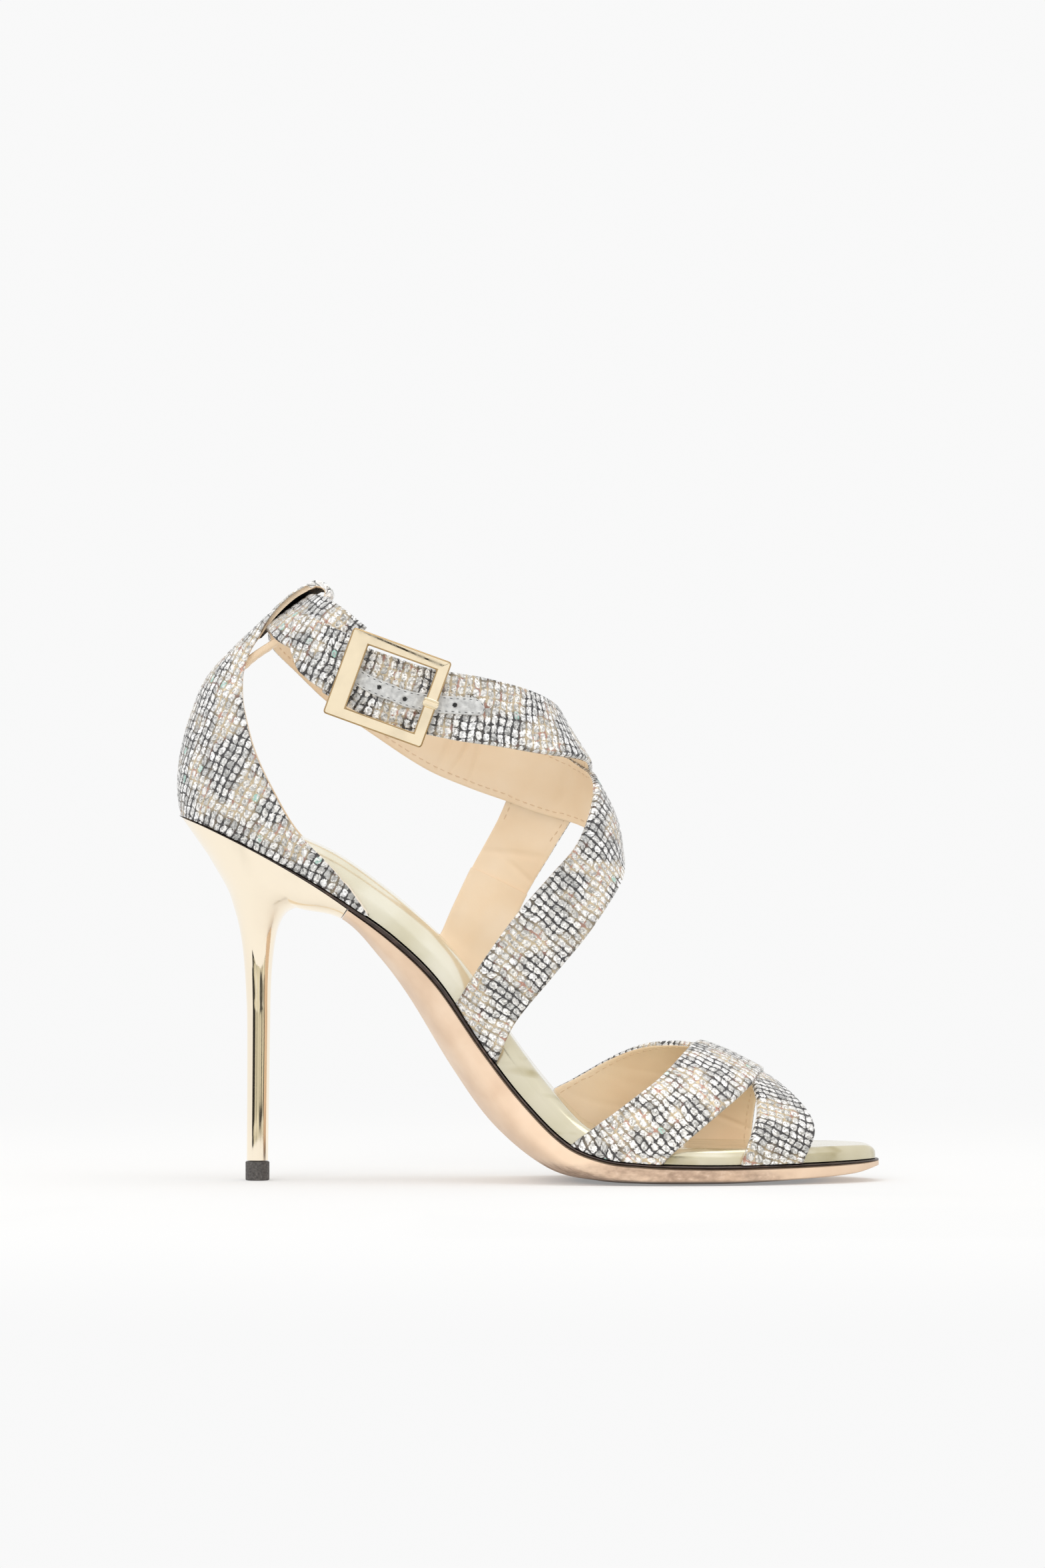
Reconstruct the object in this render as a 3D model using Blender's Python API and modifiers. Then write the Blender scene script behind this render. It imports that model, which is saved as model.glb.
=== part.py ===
"""High-heeled sandal for a right foot, standing on its sole and heel tip.

Metres, +Z up, +X to the toe, +Y to the inner side of the foot. The tables are in millimetres.
"""
import math

import bmesh
import bpy
from mathutils import Matrix, Vector

MM = 0.001

# Driving sizes of the shoe, in millimetres
GAP = 0.3
STRAP_THICKNESS = 2.0
COUNTER_THICKNESS = 2.0
SOLE_BACK = -106.0
SOLE_TOE = 106.8
LIP_FRONT = -54.0
LIP_BACK = -78.0
LIP_INSET = 0.6
HEEL_ROUND = 24.0
TOE_ROUND = 52.0
TOE_POINT = 3.2
TOE_BREADTH = 2.2
END_FLAT = 0.15
INSOLE_INSET = 2.9
INSOLE_SHOULDER = 0.55
SHOULDER_REACH = 0.4
TOE_INSET = 1.0
FOOT_INSET = 0.3
TIP_TOP = 5.8
TIP_GROW = 0.4
CROSSING_RISE = 1.3
SLOPE_STEP = 0.5
SHARP_DEGREES = 40.0

# The sole from heel to toe. z is the top of the rand at the edge, outer and inner are half widths,
# rand is the rand's thickness, belly the depth of the underside and wall the depth of its side,
# both below z and square to the sole, and bed the footbed's thickness.
SOLE_COLUMNS = ("x", "z", "outer", "inner", "rand", "belly", "wall", "bed")
SOLE_TABLE = (
    (-106.4, 111.1, 23.0, 23.0, 0.8, 3.0, 2.0, 6.0),
    (-97.1, 107.4, 23.2, 23.2, 0.8, 5.0, 3.0, 7.0),
    (-81.4, 99.8, 23.6, 23.2, 0.8, 9.4, 4.0, 9.0),
    (-65.6, 91.0, 22.8, 22.0, 0.9, 9.2, 4.2, 11.0),
    (-54.0, 83.7, 21.8, 20.6, 1.2, 4.9, 2.4, 10.8),
    (-40.6, 74.2, 21.0, 19.0, 2.0, 7.6, 3.5, 9.8),
    (-27.2, 61.1, 20.8, 18.4, 2.2, 10.4, 3.9, 9.2),
    (-13.0, 40.2, 23.0, 20.0, 2.2, 11.6, 4.1, 9.0),
    (-1.4, 25.3, 28.0, 25.0, 2.0, 12.2, 4.3, 8.6),
    (11.4, 12.8, 33.6, 31.2, 1.6, 10.4, 4.4, 7.6),
    (22.5, 8.0, 37.0, 35.4, 1.2, 7.8, 4.6, 6.4),
    (34.0, 6.5, 38.8, 38.4, 1.0, 6.8, 4.8, 5.6),
    (48.0, 5.9, 38.8, 39.0, 1.0, 6.3, 4.6, 5.4),
    (62.7, 5.8, 36.6, 38.6, 1.0, 6.0, 4.4, 5.2),
    (83.2, 6.1, 30.6, 34.6, 1.0, 5.1, 3.9, 5.0),
    (99.0, 6.5, 26.0, 30.0, 0.9, 4.0, 3.2, 4.7),
    (106.8, 6.7, 24.0, 28.0, 0.7, 1.9, 1.7, 4.2),
)

# The heel from its tip to the seat: the back and breast points seen from the side, half the width,
# where the widest place lies from back to breast, and how square the breast side is (2 is round).
HEEL_COLUMNS = ("back_x", "back_z", "breast_x", "breast_z", "half", "widest", "square")
HEEL_TABLE = (
    (-85.5, 6.1, -79.0, 6.1, 4.0, 0.50, 2.2),
    (-85.4, 44.2, -78.4, 44.2, 4.6, 0.50, 2.2),
    (-85.7, 56.4, -78.2, 55.3, 5.4, 0.50, 2.2),
    (-86.5, 68.2, -77.8, 64.2, 6.8, 0.50, 2.3),
    (-87.7, 76.5, -76.8, 72.6, 9.2, 0.50, 2.5),
    (-89.3, 82.8, -75.5, 77.7, 12.2, 0.50, 2.8),
    (-91.2, 88.4, -73.3, 81.4, 15.2, 0.52, 3.0),
    (-95.2, 95.5, -69.8, 83.2, 18.8, 0.54, 3.4),
    (-99.1, 101.8, -66.4, 85.0, 21.4, 0.56, 4.0),
    (-105.2, 109.0, -64.5, 87.5, 23.0, 0.58, 4.6),
)

# The heel cup from the sole up: the back and the front edge seen from the side, and half the width.
COUNTER_COLUMNS = ("back_x", "back_z", "front_x", "front_z", "half")
COUNTER_TABLE = (
    (-106.6, 116.8, -54.9, 89.9, 24.6),
    (-106.6, 122.6, -61.6, 97.8, 25.4),
    (-105.9, 129.5, -70.4, 107.4, 25.2),
    (-104.5, 136.0, -77.4, 119.7, 24.0),
    (-102.4, 142.4, -82.6, 131.3, 21.8),
    (-99.5, 150.0, -85.5, 143.0, 18.6),
    (-96.2, 155.2, -86.1, 149.8, 15.8),
    (-92.5, 159.3, -85.6, 155.6, 13.2),
    (-88.4, 163.4, -83.8, 161.2, 11.0),
    (-84.4, 167.2, -81.2, 165.6, 9.6),
    (-80.6, 171.2, -79.0, 169.8, 9.0),
    (-76.8, 175.0, -76.0, 173.9, 8.8),
    (-72.1, 179.0, -71.6, 178.1, 8.6),
    (-67.5, 181.6, -67.2, 180.9, 8.6),
)
COUNTER_FRONT = -48.5
CUP_ROUND = 26.0

# The tab's end, seen from the side: it folds over the ankle strap and down inside the cup.
TAB_FOLD = (
    (-64.6, 182.4), (-62.0, 181.8), (-60.0, 180.0), (-59.9, 177.2), (-63.0, 172.8), (-69.2, 168.0),
    (-75.4, 163.5), (-80.0, 160.0), (-83.0, 156.4),
)

# The leg inside the ankle straps at each height: back, front and half width.
LEG_COLUMNS = ("z", "back", "front", "half")
LEG_TABLE = (
    (30.0, -38.0, 66.0, 25.0),
    (47.0, -44.0, 54.5, 25.5),
    (61.0, -50.0, 46.5, 26.8),
    (80.0, -62.0, 37.0, 28.6),
    (95.3, -80.0, 30.0, 30.2),
    (110.0, -95.0, 27.2, 31.5),
    (124.0, -98.0, 20.3, 32.0),
    (140.0, -95.0, 10.4, 32.0),
    (155.0, -88.5, 2.6, 31.5),
    (168.0, -78.8, -3.0, 30.0),
    (181.0, -61.0, -8.0, 27.0),
)
LEG_SQUARE = 2.5

# The ankle straps. Angles go round the leg from the front (0), outer side negative, inner positive.
# Each row gives the strap's two edges: back or upper edge first, then front or lower edge.
STRAP_COLUMNS = ("upper_deg", "upper_z", "lower_deg", "lower_z")
FIRST_STRAP_FOOT = (-22.2, -10.2)
FIRST_STRAP = (
    (-100.0, 64.4, -96.4, 48.3),
    (-82.9, 80.7, -82.7, 61.8),
    (-60.9, 93.0, -61.3, 74.7),
    (-44.0, 102.0, -40.8, 84.3),
    (-30.4, 111.9, -20.6, 91.1),
    (-15.2, 119.4, -5.0, 95.6),
    (0.0, 123.6, 10.0, 99.6),
    (15.0, 126.4, 36.7, 107.5),
    (30.3, 130.4, 56.5, 111.9),
    (43.3, 133.7, 64.9, 115.0),
    (59.2, 137.9, 75.9, 119.4),
    (71.3, 142.9, 85.4, 125.1),
    (83.8, 151.4, 93.8, 135.8),
    (93.8, 160.5, 107.1, 146.4),
    (109.8, 169.0, 124.1, 156.6),
    (130.7, 174.4, 147.9, 163.8),
    (155.0, 177.4, 166.0, 167.0),
    (180.0, 178.4, 180.0, 168.0),
    (205.0, 178.2, 200.2, 167.3),
    (221.0, 177.2, 215.0, 164.5),
    (246.9, 173.0, 235.7, 160.2),
    (262.0, 168.0, 248.8, 154.5),
)
SECOND_STRAP_FOOT = (-32.5, -20.5)
SECOND_STRAP = (
    (106.1, 74.3, 97.4, 62.4),
    (95.0, 83.5, 88.3, 74.5),
    (85.0, 95.1, 74.6, 87.1),
    (72.2, 108.9, 56.0, 100.5),
    (64.0, 118.0, 43.0, 110.5),
    (52.0, 127.0, 30.0, 117.5),
    (38.0, 135.0, 17.0, 123.4),
    (20.0, 140.6, 5.0, 126.6),
    (0.0, 144.0, -8.0, 128.2),
    (-18.0, 146.8, -22.0, 129.0),
    (-32.3, 149.2, -36.0, 129.6),
    (-43.7, 150.9, -45.7, 130.2),
    (-57.2, 152.8, -60.2, 131.9),
    (-68.8, 154.1, -72.4, 133.3),
    (-79.0, 155.6, -81.4, 135.2),
    (-88.2, 158.6, -90.2, 138.2),
    (-99.8, 163.2, -98.5, 143.6),
    (-108.0, 166.0, -107.0, 148.0),
)
CHAPE_STRAP = (
    (-97.4, 164.6, -102.8, 146.8),
    (-108.0, 167.2, -107.4, 149.2),
    (-124.0, 170.6, -112.6, 151.6),
    (-141.9, 173.0, -117.6, 153.9),
)
CHAPE_RISES = (2.6, 2.6, 2.1, 1.5)

# The strip with the buckle's holes, along the second strap: angle round the leg and height.
HOLE_TAB_COLUMNS = ("deg", "z")
HOLE_TAB = (
    (-61.5, 143.7),
    (-71.0, 144.1),
    (-79.0, 144.7),
    (-86.0, 146.2),
    (-91.0, 149.4),
    (-97.0, 153.4),
)

# The toe straps. Angles go over the foot from the outer edge of the sole (0) to its inner edge (180).
TOE_COLUMNS = ("deg", "back_x", "front_x")
TOE_OVER = (
    (0.0, 12.7, 40.5),
    (12.0, 21.8, 49.8),
    (24.0, 30.6, 57.2),
    (37.0, 38.6, 63.2),
    (52.0, 44.6, 67.6),
    (70.0, 49.2, 70.4),
    (90.0, 52.4, 72.0),
    (110.0, 53.4, 72.4),
    (130.0, 52.6, 71.6),
    (150.0, 50.4, 70.4),
    (168.0, 48.4, 69.4),
    (180.0, 47.2, 68.8),
)
TOE_UNDER = (
    (0.0, 64.4, 83.2),
    (14.0, 67.2, 85.6),
    (30.0, 69.4, 86.9),
    (48.0, 69.2, 85.8),
    (66.0, 66.8, 81.8),
    (84.0, 60.6, 76.0),
    (100.0, 50.4, 70.0),
    (116.0, 39.0, 64.0),
    (132.0, 29.2, 58.0),
    (148.0, 19.4, 52.0),
    (164.0, 9.4, 46.0),
    (180.0, 0.5, 40.0),
)
VAMP_COLUMNS = ("x", "top")
VAMP_TABLE = (
    (0.0, 61.0), (10.0, 56.0), (20.0, 51.6), (30.0, 48.0), (40.0, 45.0), (50.0, 42.4),
    (60.0, 39.0), (70.0, 34.0), (80.0, 28.2), (90.0, 22.0),
)
VAMP_SQUARE = 2.25

# The buckle, on the outer side: its middle seen from the side, its slope and its bars.
BUCKLE_MIDDLE = (-42.1, 149.4)
BUCKLE_SLOPE = math.radians(-20.0)
BUCKLE_LENGTH = 31.4
BUCKLE_HEIGHT = 27.4
BUCKLE_PLATE = 6.0
BUCKLE_FRONT_BAR = 3.7
BUCKLE_RAIL = 3.7
BUCKLE_THICKNESS = 2.2
BUCKLE_EDGE = 0.5
BUCKLE_OUT = 2 * CROSSING_RISE + GAP
PRONG_WIDTH = 2.8
PRONG_LENGTH = 4.8
PRONG_THICKNESS = 1.4
HOLE_TAB_WIDTH = 5.4
HOLE_TAB_THICKNESS = 0.9
HOLE_TAB_STEPS = 20
HOLE_TAB_CROWDING = 1.6
HOLE_TAB_BLUNT = 0.25

# Points inside the cup, under the toe straps and inside the ankle ring: walls thicken towards them
INSIDE_CUP = Vector((-78.0, 0.0, 150.0))
INSIDE_TOES = Vector((50.0, 0.0, 8.0))
INSIDE_ANKLE = Vector((-25.0, 0.0, 130.0))


def lerp(start, end, share):
    return start + (end - start) * share


def curve_value(knots, values, at):
    """A smooth curve through short rows, its slope at a row taken from the rows beside it."""
    last = len(knots) - 1
    at = min(max(at, knots[0]), knots[last])
    row = 0
    while row < last - 1 and at > knots[row + 1]:
        row += 1

    def slope(index):
        low = max(index - 1, 0)
        high = min(index + 1, last)
        return (values[high] - values[low]) / (knots[high] - knots[low])

    span = knots[row + 1] - knots[row]
    t = (at - knots[row]) / span
    return (
        (1 + 2 * t) * (1 - t) ** 2 * values[row]
        + t * (1 - t) ** 2 * span * slope(row)
        + t * t * (3 - 2 * t) * values[row + 1]
        + t * t * (t - 1) * span * slope(row + 1)
    )


def column(table, columns, name):
    place = columns.index(name)
    return [row[place] for row in table]


SOLE_X = column(SOLE_TABLE, SOLE_COLUMNS, "x")
SOLE = {name: column(SOLE_TABLE, SOLE_COLUMNS, name) for name in SOLE_COLUMNS}
LEG = {name: column(LEG_TABLE, LEG_COLUMNS, name) for name in LEG_COLUMNS}
VAMP = {name: column(VAMP_TABLE, VAMP_COLUMNS, name) for name in VAMP_COLUMNS}


def sole(name, x):
    return curve_value(SOLE_X, SOLE[name], x)


def end_round(x, inset):
    """Shrinks the sole's width to its round heel and toe, on an outline set in by inset."""
    back_middle = SOLE_BACK + HEEL_ROUND
    toe_middle = SOLE_TOE - TOE_ROUND
    if x < back_middle:
        share = (back_middle - x) / (HEEL_ROUND - inset)
        return max(0.0, 1.0 - share ** 2) ** 0.5
    if x > toe_middle:
        share = (x - toe_middle) / (TOE_ROUND - min(inset, TOE_INSET))
        return max(0.0, 1.0 - share ** TOE_POINT) ** (1 / TOE_BREADTH)
    return 1.0


def half_width(x, side, inset=0.0):
    """Half the sole's width at x; side is -1 on the outer side and 1 on the inner side."""
    return (sole("outer" if side < 0 else "inner", x) - inset) * end_round(x, inset)


def sole_normal(x):
    rise = sole("z", x + SLOPE_STEP) - sole("z", x - SLOPE_STEP)
    return Vector((-rise, 0.0, 2 * SLOPE_STEP)).normalized()


def sole_point(x, y, height):
    return Vector((x, y, sole("z", x))) + sole_normal(x) * height


def sole_stations(start, end, count):
    """Places along the sole, closer together towards round ends."""
    places = []
    for index in range(count + 1):
        share = index / count
        places.append(lerp(start, end, 0.5 * share + 0.25 * (1 - math.cos(math.pi * share))))
    return places


def new_object(name, mesh, collection, material=None):
    piece = bpy.data.objects.new(name, mesh)
    collection.objects.link(piece)
    if material:
        mesh.materials.append(material)
    return piece


def lofted(name, rings, collection, material=None):
    """A closed body through rings of equal count, flat at both ends."""
    body = bmesh.new()
    loops = [[body.verts.new(point * MM) for point in ring] for ring in rings]
    for first, second in zip(loops, loops[1:]):
        for index in range(len(first)):
            after = (index + 1) % len(first)
            body.faces.new((first[index], first[after], second[after], second[index]))
    body.faces.new(list(reversed(loops[0])))
    body.faces.new(loops[-1])
    bmesh.ops.recalc_face_normals(body, faces=body.faces)
    mesh = bpy.data.meshes.new(name)
    body.to_mesh(mesh)
    body.free()
    mesh.shade_smooth()
    mesh.set_sharp_from_angle(angle=math.radians(SHARP_DEGREES))
    return new_object(name, mesh, collection, material)


def walled(name, rows, thickness, inside, collection, material=None):
    """A wall whose outer face runs through rows of points, thickened towards the inside point."""
    body = bmesh.new()
    grid = [[body.verts.new(point * MM) for point in row] for row in rows]
    for first, second in zip(grid, grid[1:]):
        for index in range(len(first) - 1):
            body.faces.new((first[index], first[index + 1], second[index + 1], second[index]))
    body.normal_update()
    outward = sum(face.normal.dot(face.calc_center_median() - inside * MM) for face in body.faces)
    if outward < 0:
        bmesh.ops.reverse_faces(body, faces=body.faces)
    mesh = bpy.data.meshes.new(name)
    body.to_mesh(mesh)
    body.free()
    mesh.shade_smooth()
    piece = new_object(name, mesh, collection, material)
    wall = piece.modifiers.new("wall", "SOLIDIFY")
    wall.thickness = thickness * MM
    wall.offset = -1.0
    wall.use_even_offset = True
    return piece


def joined(piece, other):
    union = piece.modifiers.new("join_" + other.name, "BOOLEAN")
    union.operation = "UNION"
    union.solver = "EXACT"
    union.object = other
    other.hide_render = True
    other.display_type = "WIRE"


def finish(name, colour, roughness, metallic):
    material = bpy.data.materials.new(name)
    material.use_nodes = True
    shader = material.node_tree.nodes["Principled BSDF"]
    shader.inputs["Base Color"].default_value = (*colour, 1.0)
    shader.inputs["Roughness"].default_value = roughness
    shader.inputs["Metallic"].default_value = metallic
    return material


# The sole stack

OUTSOLE_STEPS = 46
RAND_STEPS = 52
INSOLE_STEPS = 56
TOP_SHARES = (-1.0, -0.5, 0.0, 0.5, 1.0)
UNDERSIDE_DEGREES = (0, 20, 42, 66, 90, 114, 138, 160, 180)
UNDERSIDE_FULLNESS = 0.9
SHOULDER_DEGREES = (0, 28, 54, 76)


def sole_layer(name, start, end, count, section, collection, material=None):
    rings = []
    for x in sole_stations(start, end, count):
        rings.append([sole_point(x, y, height) for y, height in section(x)])
    return lofted(name, rings, collection, material)


def underside_section(x, inset):
    """Flat on top against the rand, round underneath, cut level where it meets the floor."""
    top = -sole("rand", x) - GAP
    wall = sole("wall", x)
    belly = sole("belly", x)
    points = []
    for share in TOP_SHARES:
        points.append((share, top))
    for degrees in UNDERSIDE_DEGREES:
        angle = math.radians(degrees)
        points.append((math.cos(angle), -wall - (belly - wall) * math.sin(angle) ** UNDERSIDE_FULLNESS))
    width = {-1: half_width(x, -1, inset), 1: half_width(x, 1, inset)}
    return [(share * width[1 if share > 0 else -1], height) for share, height in points]


def on_floor(point):
    return Vector((point.x, point.y, max(point.z, 0.0)))


def make_outsole(collection, material):
    rings = []
    for x in sole_stations(LIP_FRONT + GAP, SOLE_TOE - END_FLAT, OUTSOLE_STEPS):
        rings.append([on_floor(sole_point(x, y, height)) for y, height in underside_section(x, 0.0)])
    return lofted("outsole", rings, collection, material)


def make_rand(collection, material):
    def section(x):
        low = -sole("rand", x)
        outer = -half_width(x, -1)
        inner = half_width(x, 1)
        return [(outer, 0.0), (0.0, 0.0), (inner, 0.0), (inner, low), (0.0, low), (outer, low)]

    start = SOLE_BACK + END_FLAT
    end = SOLE_TOE - END_FLAT
    return sole_layer("rand", start, end, RAND_STEPS, section, collection, material)


def make_insole(collection, material):
    def section(x):
        bed = sole("bed", x)
        drop = INSOLE_SHOULDER * bed
        outer = -half_width(x, -1, INSOLE_INSET)
        inner = half_width(x, 1, INSOLE_INSET)
        reach = min(drop, SHOULDER_REACH * (inner - outer))
        shoulder = []
        for degrees in SHOULDER_DEGREES:
            angle = math.radians(degrees)
            shoulder.append((reach * (1 - math.cos(angle)), bed - drop * (1 - math.sin(angle))))
        points = [(inner, GAP)]
        points += [(inner - across, height) for across, height in shoulder]
        points.append((0.5 * (outer + inner), bed))
        points += [(outer + across, height) for across, height in reversed(shoulder)]
        points.append((outer, GAP))
        return points

    start = SOLE_BACK + INSOLE_INSET + END_FLAT
    end = SOLE_TOE - TOE_INSET - END_FLAT
    return sole_layer("insole", start, end, INSOLE_STEPS, section, collection, material)


# The heel

HEEL_SIDES = 24
HEEL_STEPS = 22
LIP_STEPS = 12


def heel_ring(row):
    values = dict(zip(HEEL_COLUMNS, row))
    back = Vector((values["back_x"], 0.0, values["back_z"]))
    breast = Vector((values["breast_x"], 0.0, values["breast_z"]))
    middle = back.lerp(breast, values["widest"])
    points = []
    for index in range(HEEL_SIDES):
        angle = 2 * math.pi * index / HEEL_SIDES
        along = math.cos(angle)
        across = math.sin(angle)
        square = values["square"] if along > 0 else 2.0
        end = breast if along > 0 else back
        point = middle.lerp(end, abs(along) ** (2 / square))
        point.y = values["half"] * math.copysign(abs(across) ** (2 / square), across)
        points.append(point)
    return points


def make_heel(collection, cutters, material):
    knots = list(range(len(HEEL_TABLE)))
    rings = []
    for step in range(HEEL_STEPS + 1):
        at = knots[-1] * step / HEEL_STEPS
        row = [curve_value(knots, column(HEEL_TABLE, HEEL_COLUMNS, name), at) for name in HEEL_COLUMNS]
        rings.append(heel_ring(row))
    rings[-1] = [sole_point(point.x, point.y, -sole("rand", point.x) - GAP) for point in rings[-1]]
    heel = lofted("heel", rings, collection, material)

    def lip_section(x):
        return underside_section(x, LIP_INSET)

    lip = sole_layer("heel_lip", LIP_BACK, LIP_FRONT, LIP_STEPS, lip_section, cutters)
    joined(heel, lip)
    return heel


def make_heel_tip(collection, material):
    first = dict(zip(HEEL_COLUMNS, HEEL_TABLE[0]))
    rings = []
    for height in (0.0, TIP_TOP):
        ring = heel_ring((first["back_x"] - TIP_GROW, height, first["breast_x"] + TIP_GROW, height,
                          first["half"] + TIP_GROW, first["widest"], first["square"]))
        rings.append(ring)
    return lofted("heel_tip", rings, collection, material)


# The upper: heel cup, toe straps and ankle straps

COUNTER_HALF_STEPS = 10
CUP_STEPS = 20
FOLD_STEPS = 24
TOE_STEPS = 36
STRAP_ACROSS = 4
FIRST_STRAP_STEPS = 72
SECOND_STRAP_STEPS = 56
CHAPE_STEPS = 10


def make_counter(collection, material):
    places = range(-COUNTER_HALF_STEPS, COUNTER_HALF_STEPS + 1)

    def foot_row():
        row = []
        for index in places:
            angle = math.pi / 2 * index / COUNTER_HALF_STEPS
            x = lerp(SOLE_BACK + FOOT_INSET, COUNTER_FRONT, 1 - math.cos(angle))
            side = -1 if index < 0 else 1
            y = side * half_width(x, side, FOOT_INSET)
            row.append(sole_point(x, y, GAP))
        return row

    def cup_row(values):
        back = Vector((values["back_x"], 0.0, values["back_z"]))
        front = Vector((values["front_x"], 0.0, values["front_z"]))
        turn_length = min((front - back).length, CUP_ROUND)
        row = []
        for index in places:
            angle = math.pi / 2 * index / COUNTER_HALF_STEPS
            point = back.lerp(front, 1 - math.cos(angle))
            turn = 1 - min((point - back).length / turn_length, 1.0)
            point.y = math.copysign(values["half"] * math.sqrt(1 - turn ** 2), index)
            row.append(point)
        return row

    knots = list(range(len(COUNTER_TABLE)))
    rows = [foot_row()]
    for step in range(CUP_STEPS + 1):
        at = knots[-1] * step / CUP_STEPS
        values = {name: curve_value(knots, column(COUNTER_TABLE, COUNTER_COLUMNS, name), at)
                  for name in COUNTER_COLUMNS}
        rows.append(cup_row(values))
    knots = list(range(len(TAB_FOLD)))
    for step in range(FOLD_STEPS + 1):
        at = knots[-1] * step / FOLD_STEPS
        x = curve_value(knots, [point[0] for point in TAB_FOLD], at)
        z = curve_value(knots, [point[1] for point in TAB_FOLD], at)
        half = COUNTER_TABLE[-1][-1]
        rows.append([Vector((x, half * index / COUNTER_HALF_STEPS, z)) for index in places])
    return walled("counter", rows, COUNTER_THICKNESS, INSIDE_CUP, collection, material)


def vamp_point(x, degrees, rise):
    """A point on the foot's top at x, rise further out in the middle of the strap's way over."""
    angle = math.radians(degrees)
    side = -1 if degrees < 90 else 1
    out = rise * math.sin(angle)
    base = sole_point(x, 0.0, GAP)
    width = half_width(x, side, FOOT_INSET) + out
    height = curve_value(VAMP["x"], VAMP["top"], x) + out - base.z
    y = side * width * abs(math.cos(angle)) ** (2 / VAMP_SQUARE)
    z = base.z + height * math.sin(angle) ** (2 / VAMP_SQUARE)
    return Vector((x, y, z))


def toe_strap(name, table, rise, collection, material=None):
    degrees = column(table, TOE_COLUMNS, "deg")
    back = column(table, TOE_COLUMNS, "back_x")
    front = column(table, TOE_COLUMNS, "front_x")
    rows = []
    for step in range(TOE_STEPS + 1):
        at = degrees[-1] * step / TOE_STEPS
        back_x = curve_value(degrees, back, at)
        front_x = curve_value(degrees, front, at)
        rows.append([vamp_point(lerp(front_x, back_x, place / STRAP_ACROSS), at, rise)
                     for place in range(STRAP_ACROSS + 1)])
    return walled(name, rows, STRAP_THICKNESS, INSIDE_TOES, collection, material)


def make_toe_straps(collection, cutters, material):
    under = toe_strap("toe_straps", TOE_UNDER, 0.0, collection, material)
    over = toe_strap("toe_strap_over", TOE_OVER, CROSSING_RISE, cutters)
    joined(under, over)
    return under


def leg_point(degrees, z, rise):
    """A point round the leg at height z, rise outside the leg's own outline."""
    angle = math.radians(degrees)
    back = curve_value(LEG["z"], LEG["back"], z) - rise
    front = curve_value(LEG["z"], LEG["front"], z) + rise
    half = curve_value(LEG["z"], LEG["half"], z) + rise
    along = math.copysign(abs(math.cos(angle)) ** (2 / LEG_SQUARE), math.cos(angle))
    across = math.copysign(abs(math.sin(angle)) ** (2 / LEG_SQUARE), math.sin(angle))
    return Vector((0.5 * (back + front) + 0.5 * (front - back) * along, half * across, z))


def ankle_strap(name, foot, side, table, rises, steps, collection, material=None):
    """A strap from its foot at the sole's edge, then round the leg along the table's rows."""
    rows = []
    if foot:
        ends = []
        for place in range(STRAP_ACROSS + 1):
            x = lerp(foot[0], foot[1], place / STRAP_ACROSS)
            y = side * half_width(x, side, FOOT_INSET)
            ends.append(sole_point(x, y, GAP))
        rows.append(ends)
    for row, rise in zip(table, rises):
        values = dict(zip(STRAP_COLUMNS, row))
        points = []
        for place in range(STRAP_ACROSS + 1):
            share = place / STRAP_ACROSS
            degrees = lerp(values["upper_deg"], values["lower_deg"], share)
            z = lerp(values["upper_z"], values["lower_z"], share)
            points.append(leg_point(degrees, z, rise))
        rows.append(points)
    knots = [0.0]
    for first, second in zip(rows, rows[1:]):
        knots.append(knots[-1] + (second[STRAP_ACROSS // 2] - first[STRAP_ACROSS // 2]).length)
    fine = []
    for step in range(steps + 1):
        at = knots[-1] * step / steps
        points = []
        for place in range(STRAP_ACROSS + 1):
            points.append(Vector([curve_value(knots, [row[place][axis] for row in rows], at)
                                  for axis in range(3)]))
        fine.append(points)
    return walled(name, fine, STRAP_THICKNESS, INSIDE_ANKLE, collection, material)


def make_ankle_straps(collection, cutters, material):
    first = ankle_strap("ankle_straps", FIRST_STRAP_FOOT, -1, FIRST_STRAP,
                        [0.0] * len(FIRST_STRAP), FIRST_STRAP_STEPS, collection, material)
    second = ankle_strap("ankle_strap_over", SECOND_STRAP_FOOT, 1, SECOND_STRAP,
                         [CROSSING_RISE] * len(SECOND_STRAP), SECOND_STRAP_STEPS, cutters)
    chape = ankle_strap("ankle_strap_chape", None, 1, CHAPE_STRAP,
                        CHAPE_RISES, CHAPE_STEPS, cutters)
    joined(first, second)
    joined(first, chape)
    return first


# The buckle

def buckle_frame_matrix():
    """The buckle's place: X along the strap to the front, Y up across it, Z out from the leg."""
    x, z = BUCKLE_MIDDLE
    y = -curve_value(LEG["z"], LEG["half"], z) - BUCKLE_OUT
    along = Vector((math.cos(BUCKLE_SLOPE), 0.0, math.sin(BUCKLE_SLOPE)))
    out = Vector((0.0, -1.0, 0.0))
    up = out.cross(along)
    place = Matrix((along, up, out)).transposed().to_4x4()
    place.translation = Vector((x, y, z)) * MM
    return place


def block(name, x_range, y_range, z_range, collection, material=None):
    body = bmesh.new()
    bmesh.ops.create_cube(body, size=1.0)
    size = [high - low for low, high in (x_range, y_range, z_range)]
    middle = [0.5 * (high + low) for low, high in (x_range, y_range, z_range)]
    bmesh.ops.scale(body, vec=Vector(size) * MM, verts=body.verts)
    bmesh.ops.translate(body, vec=Vector(middle) * MM, verts=body.verts)
    mesh = bpy.data.meshes.new(name)
    body.to_mesh(mesh)
    body.free()
    return new_object(name, mesh, collection, material)


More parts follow.
